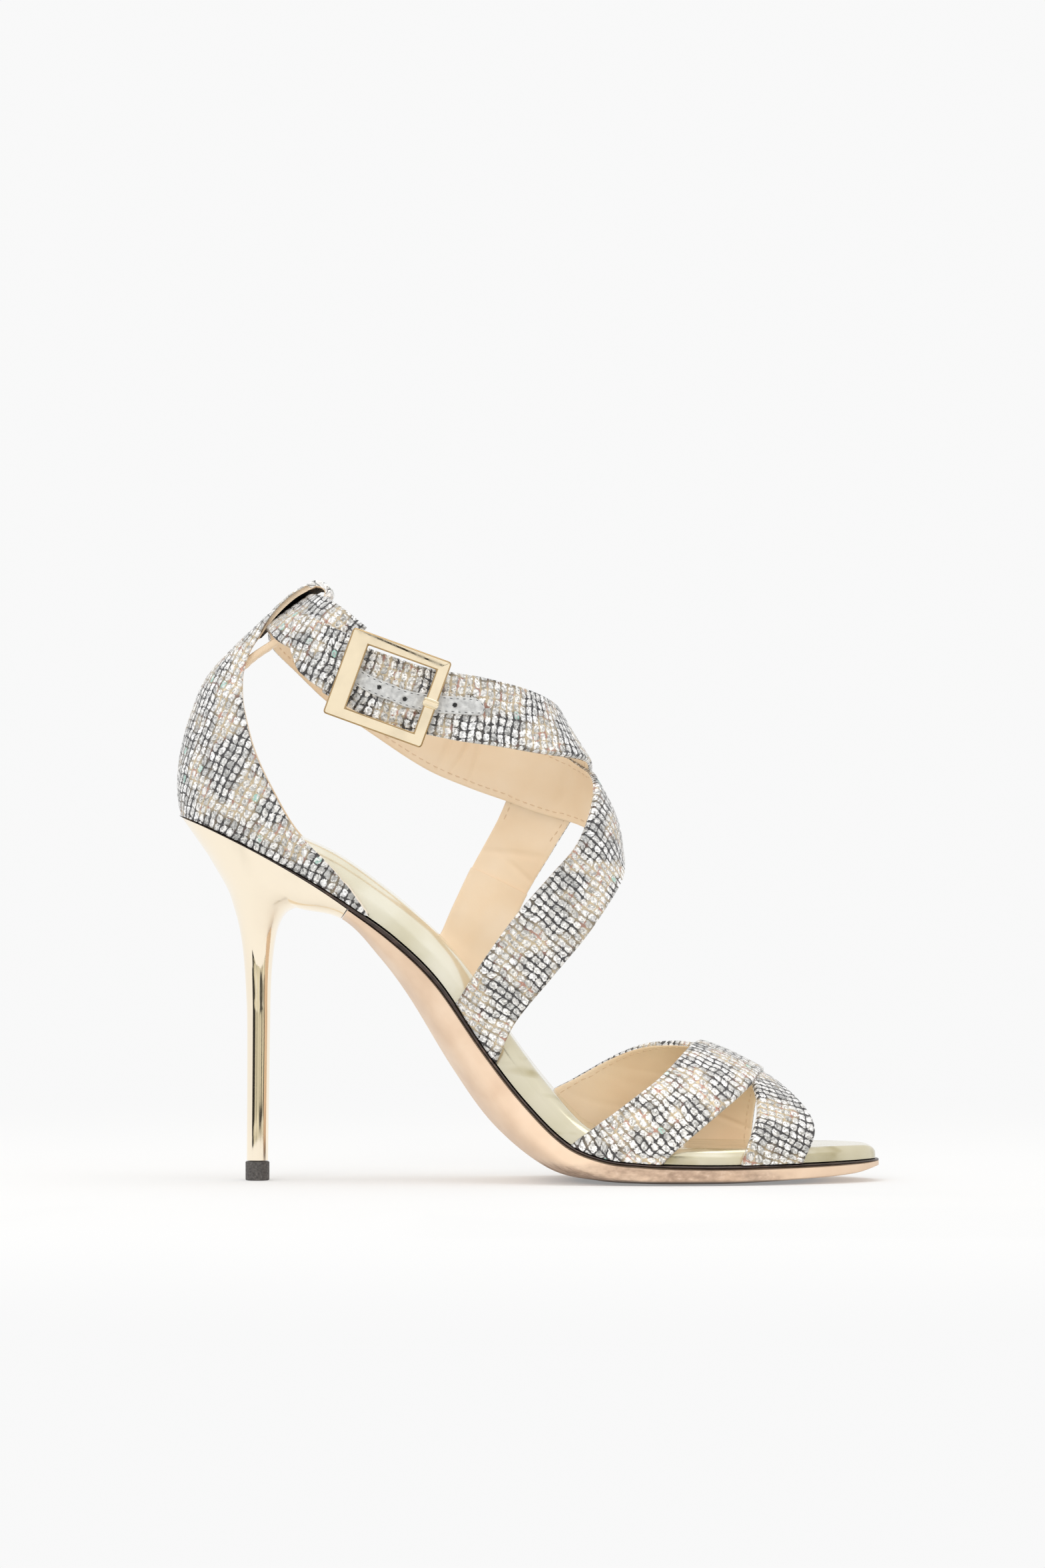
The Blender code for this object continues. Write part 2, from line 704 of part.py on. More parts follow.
def make_buckle_frame(collection, cutters, material):
    half_x = BUCKLE_LENGTH / 2
    half_y = BUCKLE_HEIGHT / 2
    frame = block("buckle_frame", (-half_x, half_x), (-half_y, half_y), (0.0, BUCKLE_THICKNESS),
                  collection, material)
    window = block("buckle_window", (-half_x + BUCKLE_PLATE, half_x - BUCKLE_FRONT_BAR),
                   (-half_y + BUCKLE_RAIL, half_y - BUCKLE_RAIL),
                   (-BUCKLE_THICKNESS, 2 * BUCKLE_THICKNESS), cutters)
    window.hide_render = True
    window.display_type = "WIRE"
    place = buckle_frame_matrix()
    frame.matrix_world = place
    window.matrix_world = place
    cut = frame.modifiers.new("window", "BOOLEAN")
    cut.operation = "DIFFERENCE"
    cut.solver = "EXACT"
    cut.object = window
    edge = frame.modifiers.new("edge", "BEVEL")
    edge.width = BUCKLE_EDGE * MM
    edge.segments = 2
    edge.limit_method = "ANGLE"
    return frame


def make_buckle_prong(collection, material):
    middle = 0.5 * (BUCKLE_LENGTH - BUCKLE_FRONT_BAR)
    prong = block("buckle_prong", (middle - 0.5 * PRONG_LENGTH, middle + 0.5 * PRONG_LENGTH),
                  (-0.5 * PRONG_WIDTH, 0.5 * PRONG_WIDTH),
                  (BUCKLE_THICKNESS + GAP, BUCKLE_THICKNESS + GAP + PRONG_THICKNESS), collection, material)
    prong.matrix_world = buckle_frame_matrix()
    edge = prong.modifiers.new("edge", "BEVEL")
    edge.width = BUCKLE_EDGE * MM
    edge.segments = 2
    return prong


def make_hole_tab(collection, material):
    """A thin strip on the second strap's outer face, round at its front end."""
    degrees = column(HOLE_TAB, HOLE_TAB_COLUMNS, "deg")
    heights = column(HOLE_TAB, HOLE_TAB_COLUMNS, "z")
    rise = CROSSING_RISE + GAP + HOLE_TAB_THICKNESS
    knots = list(range(len(HOLE_TAB)))
    middle = []
    for step in range(HOLE_TAB_STEPS + 1):
        at = knots[-1] * (step / HOLE_TAB_STEPS) ** HOLE_TAB_CROWDING
        middle.append((curve_value(knots, degrees, at), curve_value(knots, heights, at)))
    radius = 0.5 * HOLE_TAB_WIDTH
    start = leg_point(*middle[0], rise)
    rows = []
    for angle, z in middle:
        run = (leg_point(angle, z, rise) - start).length
        short = max(radius - run, 0.0)
        half = max(math.sqrt(radius ** 2 - short ** 2), HOLE_TAB_BLUNT * radius)
        rows.append([leg_point(angle, z + half * share, rise) for share in (1.0, 0.0, -1.0)])
    return walled("hole_tab", rows, HOLE_TAB_THICKNESS, INSIDE_ANKLE, collection, material)


def main():
    for item in list(bpy.data.objects):
        bpy.data.objects.remove(item)
    shoe = bpy.data.collections.new("high_heel_sandal")
    cutters = bpy.data.collections.new("cutters")
    bpy.context.scene.collection.children.link(shoe)
    bpy.context.scene.collection.children.link(cutters)

    glitter = finish("glitter_fabric", (0.62, 0.59, 0.55), 0.35, 0.4)
    gold_leather = finish("gold_leather", (0.80, 0.74, 0.55), 0.18, 0.9)
    gold_metal = finish("gold_metal", (0.88, 0.76, 0.52), 0.15, 1.0)
    sole_leather = finish("sole_leather", (0.78, 0.56, 0.42), 0.55, 0.0)
    dark_edge = finish("dark_edge", (0.05, 0.03, 0.025), 0.5, 0.0)
    grey_leather = finish("grey_leather", (0.42, 0.42, 0.42), 0.5, 0.0)
    tip_rubber = finish("tip_rubber", (0.05, 0.05, 0.055), 0.6, 0.0)

    make_outsole(shoe, sole_leather)
    make_rand(shoe, dark_edge)
    make_insole(shoe, gold_leather)
    make_heel(shoe, cutters, gold_metal)
    make_heel_tip(shoe, tip_rubber)
    make_counter(shoe, glitter)
    make_toe_straps(shoe, cutters, glitter)
    make_ankle_straps(shoe, cutters, glitter)
    make_buckle_frame(shoe, cutters, gold_metal)
    make_buckle_prong(shoe, gold_metal)
    make_hole_tab(shoe, grey_leather)


main()
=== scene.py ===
"""Looks of a high-heeled strappy sandal for a right foot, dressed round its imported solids."""

import math

import bmesh
import bpy
import numpy as np
from mathutils import Matrix, Vector


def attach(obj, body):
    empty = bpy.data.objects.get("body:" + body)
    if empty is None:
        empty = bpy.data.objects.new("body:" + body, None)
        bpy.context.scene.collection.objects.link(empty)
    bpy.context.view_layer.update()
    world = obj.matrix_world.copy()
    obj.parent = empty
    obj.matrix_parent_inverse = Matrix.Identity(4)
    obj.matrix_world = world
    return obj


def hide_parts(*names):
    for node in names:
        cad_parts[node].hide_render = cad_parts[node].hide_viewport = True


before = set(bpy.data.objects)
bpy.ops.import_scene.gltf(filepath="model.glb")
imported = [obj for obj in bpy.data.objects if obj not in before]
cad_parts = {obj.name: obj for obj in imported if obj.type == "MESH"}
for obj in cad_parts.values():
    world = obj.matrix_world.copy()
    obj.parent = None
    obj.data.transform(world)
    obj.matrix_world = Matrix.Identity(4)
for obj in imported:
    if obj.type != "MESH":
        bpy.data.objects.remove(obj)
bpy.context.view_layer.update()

# The rand is the thin strip of dark, edge-painted leather between the sole and the footbed.
# It runs round the whole sole, over the arch from heel seat to toe, and is glued in between,
# so that only its edge shows.
MM = 0.001
GAP = 0.3
SOLE_BACK = -106.0
SOLE_TOE = 106.8
HEEL_ROUND = 24.0
TOE_ROUND = 52.0
TOE_POINT = 3.2
TOE_BREADTH = 2.2
TOE_INSET = 1.0
END_FLAT = 0.15
SLOPE_STEP = 0.5
SOLE_COLUMNS = ("x", "z", "outer", "inner", "rand", "belly", "wall", "bed")
SOLE_TABLE = (
    (-106.4, 111.1, 23.0, 23.0, 0.8, 3.0, 2.0, 6.0),
    (-97.1, 107.4, 23.2, 23.2, 0.8, 5.0, 3.0, 7.0),
    (-81.4, 99.8, 23.6, 23.2, 0.8, 9.4, 4.0, 9.0),
    (-65.6, 91.0, 22.8, 22.0, 0.9, 9.2, 4.2, 11.0),
    (-54.0, 83.7, 21.8, 20.6, 1.2, 4.9, 2.4, 10.8),
    (-40.6, 74.2, 21.0, 19.0, 2.0, 7.6, 3.5, 9.8),
    (-27.2, 61.1, 20.8, 18.4, 2.2, 10.4, 3.9, 9.2),
    (-13.0, 40.2, 23.0, 20.0, 2.2, 11.6, 4.1, 9.0),
    (-1.4, 25.3, 28.0, 25.0, 2.0, 12.2, 4.3, 8.6),
    (11.4, 12.8, 33.6, 31.2, 1.6, 10.4, 4.4, 7.6),
    (22.5, 8.0, 37.0, 35.4, 1.2, 7.8, 4.6, 6.4),
    (34.0, 6.5, 38.8, 38.4, 1.0, 6.8, 4.8, 5.6),
    (48.0, 5.9, 38.8, 39.0, 1.0, 6.3, 4.6, 5.4),
    (62.7, 5.8, 36.6, 38.6, 1.0, 6.0, 4.4, 5.2),
    (83.2, 6.1, 30.6, 34.6, 1.0, 5.1, 3.9, 5.0),
    (99.0, 6.5, 26.0, 30.0, 0.9, 4.0, 3.2, 4.7),
    (106.8, 6.7, 24.0, 28.0, 0.7, 1.9, 1.7, 4.2),
)
SOLE = {name: [row[place] for row in SOLE_TABLE] for place, name in enumerate(SOLE_COLUMNS)}
RAND_SQUARE = 8.0
RAND_SHOWN = (
    (-106.0, 0.10), (-94.0, 0.20), (-80.0, 0.36), (-66.0, 0.62), (-54.0, 0.85), (-46.0, 0.78),
    (-38.0, 0.66), (-28.0, 0.55), (-20.0, 0.42), (-12.0, 0.30), (0.0, 0.27), (20.0, 0.44), (106.8, 0.56),
)
RAND_SEAM = 0.1
RAND_GRID = (220, 56)
END_CROWDING = 0.5
SMALLEST_DIGIT = 9
WELD = 1e-7
SHARP_EDGE = math.radians(38.0)
EDGE_GRAIN = (420.0, 4.0, (0.35, 1.0, 1.0))
EDGE_TONES = (
    (0.30, (0.026, 0.018, 0.017)), (0.58, (0.060, 0.040, 0.035)), (0.74, (0.18, 0.11, 0.08)),
)
EDGE_RELIEF = (0.15 * MM, 0.5)


def through(knots, values, at):
    """A smooth curve through short rows, its slope at a row taken from the rows beside it."""
    knots = np.asarray(knots, float)
    values = np.asarray(values, float)
    at = np.clip(at, knots[0], knots[-1])
    row = np.clip(np.searchsorted(knots, at) - 1, 0, len(knots) - 2)
    before = np.maximum(np.arange(len(knots)) - 1, 0)
    after = np.minimum(np.arange(len(knots)) + 1, len(knots) - 1)
    tail = (1,) * (values.ndim - 1)
    slope = (values[after] - values[before]) / (knots[after] - knots[before]).reshape((-1,) + tail)
    span = (knots[row + 1] - knots[row]).reshape(np.shape(at) + tail)
    t = (at - knots[row]).reshape(np.shape(at) + tail) / span
    return (
        (1 + 2 * t) * (1 - t) ** 2 * values[row]
        + t * (1 - t) ** 2 * span * slope[row]
        + t * t * (3 - 2 * t) * values[row + 1]
        + t * t * (t - 1) * span * slope[row + 1]
    )


def sole(name, x):
    return through(SOLE["x"], SOLE[name], x)


def half_width(x, side, inset=0.0):
    """Half the sole's width at x, round at heel and toe; side is -1 outside and 1 inside."""
    back = np.clip((SOLE_BACK + HEEL_ROUND - x) / (HEEL_ROUND - inset), 0.0, 1.0)
    toe = np.clip((x - SOLE_TOE + TOE_ROUND) / (TOE_ROUND - min(inset, TOE_INSET)), 0.0, 1.0)
    rounding = np.sqrt(1 - back ** 2) * (1 - toe ** TOE_POINT) ** (1 / TOE_BREADTH)
    width = np.where(np.asarray(side) < 0, sole("outer", x), sole("inner", x))
    return (width - inset) * rounding


def sole_points(x, y, height):
    """Points over the sole's top line; height is measured square to the sole."""
    rise = (sole("z", x + SLOPE_STEP) - sole("z", x - SLOPE_STEP)) / (2 * SLOPE_STEP)
    length = np.hypot(rise, 1.0)
    return np.stack([x - height * rise / length, y, sole("z", x) + height / length], axis=-1)


def show(name, body):
    """Turns a finished bmesh into a smooth object at the origin."""
    mesh = bpy.data.meshes.new(name)
    body.to_mesh(mesh)
    body.free()
    mesh.shade_smooth()
    piece = bpy.data.objects.new(name, mesh)
    bpy.context.scene.collection.objects.link(piece)
    return piece


def squared(value, square):
    """A circle's sine or cosine pushed out towards a rounded square; a square of 2 stays a circle."""
    return np.sign(value) * np.abs(value) ** (2 / square)


def closed_loft(name, grid, place):
    """A closed body: a grid bent into a tube by place(share along, share around), its ends filled."""
    body = bmesh.new()
    bmesh.ops.create_grid(body, x_segments=grid[0], y_segments=grid[1], size=0.5)
    shares = np.array([vert.co.xy for vert in body.verts])
    shares = (shares - shares.min(0)) / np.ptp(shares, axis=0)
    for vert, point in zip(body.verts, place(shares[:, 0], shares[:, 1]) * MM):
        vert.co = point
    bmesh.ops.remove_doubles(body, verts=body.verts, dist=WELD)
    bmesh.ops.holes_fill(body, edges=[edge for edge in body.edges if edge.is_boundary])
    bmesh.ops.recalc_face_normals(body, faces=body.faces)
    piece = show(name, body)
    piece.data.set_sharp_from_angle(angle=SHARP_EDGE)
    return piece


def crowded(share, crowding):
    """Even shares drawn closer together at both ends."""
    return (1 - crowding) * share + crowding * 0.5 * (1 - np.cos(np.pi * share))


def sole_body(name, start, end, grid, inset, section):
    """A layer of the sole: section(x, turn) goes from its middle out to the edge and back to the middle."""
    def place(share, turn):
        x = start + (end - start) * crowded(share, END_CROWDING)
        side = np.where(turn < 0.5, 1.0, -1.0)
        breadth, shoulder, height = section(x, 1 - np.abs(2 * turn - 1))
        y = side * (breadth * half_width(x, side, inset) - shoulder)
        points = sole_points(x, y, height)
        points[:, 2] = np.maximum(points[:, 2], 0.0)
        return points

    return closed_loft(name, grid, place)


def node(material, kind, sockets, **settings):
    """Adds a shader node; a socket's value is a number, a colour or another node's output."""
    made = material.node_tree.nodes.new("ShaderNode" + kind)
    for key, value in settings.items():
        setattr(made, key, value)
    for place, value in sockets.items():
        if isinstance(value, bpy.types.NodeSocket):
            material.node_tree.links.new(value, made.inputs[place])
        else:
            made.inputs[place].default_value = value
    return made


def finish(name, **sockets):
    """A Principled material with the sockets that stay the same all over."""
    material = bpy.data.materials.new(name)
    material.use_nodes = True
    for place, value in sockets.items():
        shader(material).inputs[place.replace("_", " ")].default_value = value
    return material


def shader(material):
    return material.node_tree.nodes["Principled BSDF"]


def wire(material, socket, output):
    material.node_tree.links.new(output, shader(material).inputs[socket])


def place_noise(material, scale, detail, stretch=(1.0, 1.0, 1.0)):
    """Noise on the object's own coordinates, in lumps of about one over scale."""
    spot = node(material, "TexCoord", {}).outputs["Object"]
    spot = node(material, "Mapping", {"Vector": spot, "Scale": stretch}).outputs["Vector"]
    return node(material, "TexNoise", {"Vector": spot, "Scale": scale, "Detail": detail}).outputs["Fac"]


def ramp(material, value, stops):
    """A colour ramp from (place, colour) stops."""
    made = node(material, "ValToRGB", {"Fac": value})
    band = made.color_ramp
    while len(band.elements) < len(stops):
        band.elements.new(0.5)
    for element, (place, colour) in zip(band.elements, stops):
        element.position = place
        element.color = (*colour, 1.0)
    return made.outputs["Color"]


def grade(material, value, low, high, start=0.0, end=1.0):
    """A value read between low and high, turned into one between start and end."""
    sockets = {"Value": value, "From Min": low, "From Max": high, "To Min": start, "To Max": end}
    return node(material, "MapRange", sockets, interpolation_type="SMOOTHSTEP").outputs["Result"]


def relief(material, height, depth, strength, normal=None):
    sockets = {"Height": height, "Distance": depth, "Strength": strength}
    if normal:
        sockets["Normal"] = normal
    wire(material, "Normal", node(material, "Bump", sockets).outputs["Normal"])


def dress(piece, material, slot, *nodes):
    """Gives a piece its material, hangs it under the root and hides the solids it stands for; slot is not
    used.
    """
    if material:
        piece.data.materials.append(material)
    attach(piece, "root")
    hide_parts(*nodes)


def rand_depth(x):
    """How much of the rand's thickness shows between the sole and what stands on it."""
    return sole("rand", x) * through([row[0] for row in RAND_SHOWN], [row[1] for row in RAND_SHOWN], x)


def rand_section(x, turn):
    angle = np.pi * (turn - 0.5)
    breadth = squared(np.cos(angle).round(SMALLEST_DIGIT), RAND_SQUARE)
    return breadth, 0.0, 0.5 * rand_depth(x) * (squared(np.sin(angle), RAND_SQUARE) - 1)


edge_paint = finish("edge_paint", Roughness=0.38, Specular_IOR_Level=0.4)
edge_wear = place_noise(edge_paint, *EDGE_GRAIN)
wire(edge_paint, "Base Color", ramp(edge_paint, edge_wear, EDGE_TONES))
relief(edge_paint, edge_wear, *EDGE_RELIEF)
rand = sole_body("rand_strip", SOLE_BACK + END_FLAT, SOLE_TOE - END_FLAT, RAND_GRID, 0.0, rand_section)
dress(rand, edge_paint, "dark_edge", "rand")

# The outsole is one piece of nude leather, thick and rounded under the arch and thin at the toe.
# It is cemented under the rand from the heel's lip forward. Its edge is scuffed brown under the ball
# of the foot, and its lowest two millimetres are painted dark brown, a painted contact shadow on the
# ground.
LIP_FRONT = -54.0
WALL_START = 0.18
WALL_END = 0.27
UNDERSIDE_FULLNESS = 0.9
OUTSOLE_GRID = (200, 72)
MIX_FIRST, MIX_SECOND, MIX_RESULT = 6, 7, 2
FIBRE_GRAIN = (950.0, 5.0, (0.5, 1.0, 1.0))
FIBRE_RELIEF = (0.12 * MM, 0.35)
CLOUD_GRAIN = (70.0, 3.0)
CLOUD_TONES = ((0.30, (0.70, 0.51, 0.36)), (0.55, (0.78, 0.59, 0.43)), (0.75, (0.83, 0.65, 0.49)))
SCUFF_GRAIN = (190.0, 6.0, (0.45, 1.0, 1.0))
SCUFF_TONES = ((0.35, (0.33, 0.23, 0.165)), (0.60, (0.47, 0.335, 0.245)), (0.72, (0.60, 0.47, 0.37)))
SCUFF_HEIGHT = (12 * MM, 0.5 * MM)
SCUFF_RUN = (92 * MM, 50 * MM, 0.3)
SCUFF_SHARE = (0.12, 0.46)
SCUFF_GLOSS = (0.2, 0.6, 0.42, 0.75)
CONTACT_SHADOW_HEIGHT = (2.0 * MM, 0.8 * MM)
CONTACT_SHADOW_COLOUR = (0.11, 0.08, 0.06, 1.0)


def underside_section(x, turn):
    """Flat on top, a short upright wall at the edge, then round underneath."""
    top = -rand_depth(x) - RAND_SEAM
    wall = -sole("wall", x)
    angle = 0.5 * np.pi * np.clip((turn - WALL_END) / (1 - WALL_END), 0.0, 1.0)
    down = np.clip((turn - WALL_START) / (WALL_END - WALL_START), 0.0, 1.0)
    belly = (sole("belly", x) + wall) * np.sin(angle) ** UNDERSIDE_FULLNESS
    breadth = np.where(turn < WALL_START, turn / WALL_START, np.cos(angle))
    return breadth, 0.0, top + (wall - top) * down - belly


def place_parts(material):
    """A point's X, Y and Z on the piece, each by itself."""
    spot = node(material, "TexCoord", {}).outputs["Object"]
    return node(material, "SeparateXYZ", {"Vector": spot}).outputs


def blend(material, factor, first, second, **settings):
    """The second colour laid over the first by a factor."""
    sockets = {"Factor": factor, MIX_FIRST: first, MIX_SECOND: second}
    return node(material, "Mix", sockets, data_type="RGBA", **settings).outputs[MIX_RESULT]


def reckon(material, operation, *values):
    """One step of arithmetic on numbers or other nodes' outputs."""
    return node(material, "Math", dict(enumerate(values)), operation=operation).outputs["Value"]


nude_leather = finish("nude_leather", Roughness=0.52, Specular_IOR_Level=0.35)
fibre = place_noise(nude_leather, *FIBRE_GRAIN)
sole_place = place_parts(nude_leather)
low_down = grade(nude_leather, sole_place["Z"], *SCUFF_HEIGHT)
behind_toe = grade(nude_leather, sole_place["X"], *SCUFF_RUN)
scuff = reckon(nude_leather, "MULTIPLY", place_noise(nude_leather, *SCUFF_GRAIN), low_down)
scuff = reckon(nude_leather, "MULTIPLY", scuff, behind_toe)
tan = ramp(nude_leather, place_noise(nude_leather, *CLOUD_GRAIN), CLOUD_TONES)
scuffed = ramp(nude_leather, fibre, SCUFF_TONES)
worn = blend(nude_leather, grade(nude_leather, scuff, *SCUFF_SHARE), tan, scuffed)
# Painted contact shadow: the sole turns dark brown within two millimetres of the ground.
contact_shadow = grade(nude_leather, sole_place["Z"], *CONTACT_SHADOW_HEIGHT)
wire(nude_leather, "Base Color", blend(nude_leather, contact_shadow, worn, CONTACT_SHADOW_COLOUR))
wire(nude_leather, "Roughness", grade(nude_leather, scuff, *SCUFF_GLOSS))
relief(nude_leather, fibre, *FIBRE_RELIEF)
outsole = sole_body("outsole_leather", LIP_FRONT + GAP, SOLE_TOE - END_FLAT, OUTSOLE_GRID, 0.0,
                    underside_section)
dress(outsole, nude_leather, "sole_leather", "outsole")

# The footbed is a thick padded board wrapped in pale gold mirror leather.
# Its top edge is rounded over all round and it sits on the rand a little inside its edge.
# A darker band from the arch to the ball, one at the toe end and a darker mottle over the forefoot are
# painted dark reflections.
INSOLE_INSET = 2.9
INSOLE_SHOULDER = 0.55
SHOULDER_REACH = 0.4
BED_BASE = 0.12
BED_SIDE = 0.24
BED_ROUND = 0.80
BED_TOE = 4.0
BED_TOE_DROP = 0.6
BED_RUN = (-40 * MM, 110 * MM)
BED_REFLECTION_BANDS = (
    (0.01, (1.0, 1.0, 1.0)), (0.12, (0.76, 0.74, 0.67)), (0.34, (0.76, 0.74, 0.67)),
    (0.58, (1.0, 1.0, 1.0)), (0.84, (1.0, 1.0, 1.0)), (0.95, (0.75, 0.72, 0.63)),
)
BED_TONES = ((0.30, (0.82, 0.77, 0.60)), (0.52, (0.89, 0.85, 0.70)), (0.75, (0.93, 0.89, 0.76)))
BED_REFLECTION_MOTTLE = ((0.36, (0.68, 0.64, 0.50)), (0.50, (1.0, 1.0, 1.0)))
MOTTLE_RUN = (-14 * MM, 2 * MM)
MOTTLE_GRAIN = (95.0, 2.0, (0.5, 1.0, 1.5))
RIPPLE_GRAIN = (60.0, 2.0)
RIPPLE_RELIEF = (0.6 * MM, 0.25)
PEBBLE_GRAIN = (1500.0, 2.0)
PEBBLE_GLOSS = (0.3, 0.7, 0.12, 0.24)
FOOTBED_GRID = (220, 96)


def bed_section(x, turn):
    """Under the bed, up its side, round the shoulder and over the flat top."""
    toe = np.clip((x - SOLE_TOE + TOE_INSET + BED_TOE) / BED_TOE, 0.0, 1.0)
    bed = sole("bed", x) * (1 - BED_TOE_DROP * (1 - np.sqrt(1 - toe ** 2)))
    drop = INSOLE_SHOULDER * bed
    whole = half_width(x, 1, INSOLE_INSET) + half_width(x, -1, INSOLE_INSET)
    reach = np.minimum(drop, SHOULDER_REACH * whole)
    angle = 0.5 * np.pi * np.clip((turn - BED_SIDE) / (BED_ROUND - BED_SIDE), 0.0, 1.0)
    side = np.clip((turn - BED_BASE) / (BED_SIDE - BED_BASE), 0.0, 1.0)
    inward = np.clip((turn - BED_ROUND) / (1 - BED_ROUND), 0.0, 1.0)
    breadth = np.where(turn < BED_BASE, turn / BED_BASE, 1 - inward)
    shoulder = reach * (1 - np.cos(angle)) * (1 - inward)
    height = GAP + (bed - drop - GAP) * side + drop * np.sin(angle)
    return breadth, shoulder, height


mirror_leather = finish("mirror_leather", Metallic=0.62, Coat_Weight=0.35, Coat_Roughness=0.06)
ripple = place_noise(mirror_leather, *RIPPLE_GRAIN)
bed_gold = ramp(mirror_leather, ripple, BED_TONES)
bed_run = place_parts(mirror_leather)["X"]
# Painted dark reflections: darker bands along the bed, from the arch to the ball and at the toe end.
bed_reflection = ramp(mirror_leather, grade(mirror_leather, bed_run, *BED_RUN), BED_REFLECTION_BANDS)
# Painted dark reflections: a darker mottle over the forefoot.
reflection_mottle = ramp(mirror_leather, place_noise(mirror_leather, *MOTTLE_GRAIN), BED_REFLECTION_MOTTLE)
forefoot = grade(mirror_leather, bed_run, *MOTTLE_RUN)
bed_reflection = blend(mirror_leather, forefoot, bed_reflection, reflection_mottle, blend_type="MULTIPLY")
wire(mirror_leather, "Base Color", blend(mirror_leather, 1.0, bed_gold, bed_reflection, blend_type="MULTIPLY"))
pebble = place_noise(mirror_leather, *PEBBLE_GRAIN)
wire(mirror_leather, "Roughness", grade(mirror_leather, pebble, *PEBBLE_GLOSS))
relief(mirror_leather, ripple, *RIPPLE_RELIEF)
footbed = sole_body("footbed", SOLE_BACK + INSOLE_INSET + END_FLAT, SOLE_TOE - TOE_INSET - END_FLAT,
                    FOOTBED_GRID, INSOLE_INSET, bed_section)
dress(footbed, mirror_leather, "gold_leather", "insole")

# The heel is a slim moulded stiletto covered in a pale gold mirror plating.
# It flares into a cup-shaped seat at the back, and its breast runs out in a thin lip under the arch,
# where the sole leather butts against it.
LIP_BACK = -74.0
LIP_INSET = 0.25
LIP_TUCK = 0.5
LIP_TUCK_FRONT = -62.0
LIP_FULLNESS = 7.0
LIP_EDGE = 1 / 6
HEEL_COLUMNS = ("back_x", "back_z", "breast_x", "breast_z", "half", "widest", "square")
HEEL_TABLE = (
    (-85.5, 6.1, -79.0, 6.1, 4.0, 0.50, 2.2),
    (-85.4, 44.2, -78.4, 44.2, 4.6, 0.50, 2.2),
    (-85.7, 56.4, -78.2, 55.3, 5.4, 0.50, 2.2),
    (-86.5, 68.2, -77.8, 64.2, 6.8, 0.50, 2.3),
    (-87.7, 76.5, -76.8, 72.6, 9.2, 0.50, 2.5),
    (-89.3, 82.8, -75.5, 77.7, 12.2, 0.50, 2.8),
    (-91.2, 88.4, -73.3, 81.4, 15.2, 0.52, 3.0),
    (-95.2, 95.5, -69.8, 83.2, 18.2, 0.54, 3.4),
    (-99.1, 101.8, -66.4, 85.0, 20.6, 0.56, 4.0),
    (-105.2, 109.0, -64.5, 87.5, 23.0, 0.58, 4.6),
)
SEAT_START = 5 / 6
BACK_SQUARE = 2.0
SATIN_HEIGHT = (74 * MM, 88 * MM, 0.0, 0.1)
SMEAR_GRAIN = (260.0, 4.0, (1.0, 1.0, 0.12))
SMEAR_GLOSS = (0.35, 0.75, 0.045, 0.13)
SMEAR_RELIEF = (0.05 * MM, 0.12)
HEEL_GRID = (132, 72)
LIP_GRID = (40, 72)


def heel_points(share, turn):
    """Rings from the tip up to the seat; the last one lies on the underside of the rand."""
    at = np.minimum(share, SEAT_START) * (len(HEEL_TABLE) - 1)

    def ring(rows):
        size = {name: through(range(len(HEEL_TABLE)), [row[place] for row in HEEL_TABLE], rows)
                for place, name in enumerate(HEEL_COLUMNS)}
        back = np.stack([size["back_x"], 0 * rows, size["back_z"]], axis=-1)
        breast = np.stack([size["breast_x"], 0 * rows, size["breast_z"]], axis=-1)
        middle = back + (breast - back) * size["widest"][:, None]
        along = np.cos(2 * np.pi * turn)
        across = np.sin(2 * np.pi * turn)
        square = np.where(along > 0, size["square"], BACK_SQUARE)
        end = np.where(along[:, None] > 0, breast, back)
        points = middle + (end - middle) * (np.abs(along) ** (2 / square))[:, None]
        points[:, 1] = size["half"] * squared(across, square)
        return points

    top = ring(np.full_like(at, len(HEEL_TABLE) - 1.0))
    seat = sole_points(top[:, 0], top[:, 1], -rand_depth(top[:, 0]) - RAND_SEAM)
    seated = np.clip((share - SEAT_START) / (1 - SEAT_START), 0.0, 1.0)[:, None]
    return ring(at) * (1 - seated) + seat * seated


def lip_section(x, turn):
    """Flat on top and full underneath, drawn in where it runs into the heel."""
    top = -rand_depth(x) - RAND_SEAM
    belly = sole("belly", x)
    under = np.clip((turn - LIP_EDGE) / (1 - LIP_EDGE), 0.0, 1.0)
    breadth = np.where(turn < LIP_EDGE, turn / LIP_EDGE, 1 - under)
    height = top - (belly + top) * (1 - (1 - under) ** LIP_FULLNESS)
    tuck = LIP_TUCK * np.clip((LIP_TUCK_FRONT - x) / (LIP_TUCK_FRONT - LIP_BACK), 0.0, 1.0)
    return breadth, breadth * tuck, height


gold_plating = finish("gold_plating", Metallic=1.0, Base_Color=(0.97, 0.865, 0.70, 1.0))
smear = place_noise(gold_plating, *SMEAR_GRAIN)
polish = grade(gold_plating, smear, *SMEAR_GLOSS)
satin = grade(gold_plating, place_parts(gold_plating)["Z"], *SATIN_HEIGHT)
wire(gold_plating, "Roughness", reckon(gold_plating, "ADD", polish, satin))
relief(gold_plating, smear, *SMEAR_RELIEF)
heel = closed_loft("heel_shell", HEEL_GRID, heel_points)
lip = sole_body("heel_lip", LIP_BACK, LIP_FRONT, LIP_GRID, LIP_INSET, lip_section)
dress(heel, gold_plating, "gold_shell", "heel")
dress(lip, gold_plating, "gold_shell", "heel")

# The heel tip is a small block of dark grey rubber pinned up into the end of the stem.
# It stands a little wider than the stem, and its edges are slightly rounded.
TIP_TOP = 5.8
TIP_GROW = 0.4
TIP_EDGE = 0.35
TIP_GRID = (28, 48)
CRUMB_GRAIN = (1400.0, 5.0)
CRUMB_TONES = (
    (0.32, (0.050, 0.046, 0.044)), (0.60, (0.105, 0.095, 0.088)), (0.78, (0.20, 0.19, 0.18)),
)
CRUMB_RELIEF = (0.1 * MM, 0.5)


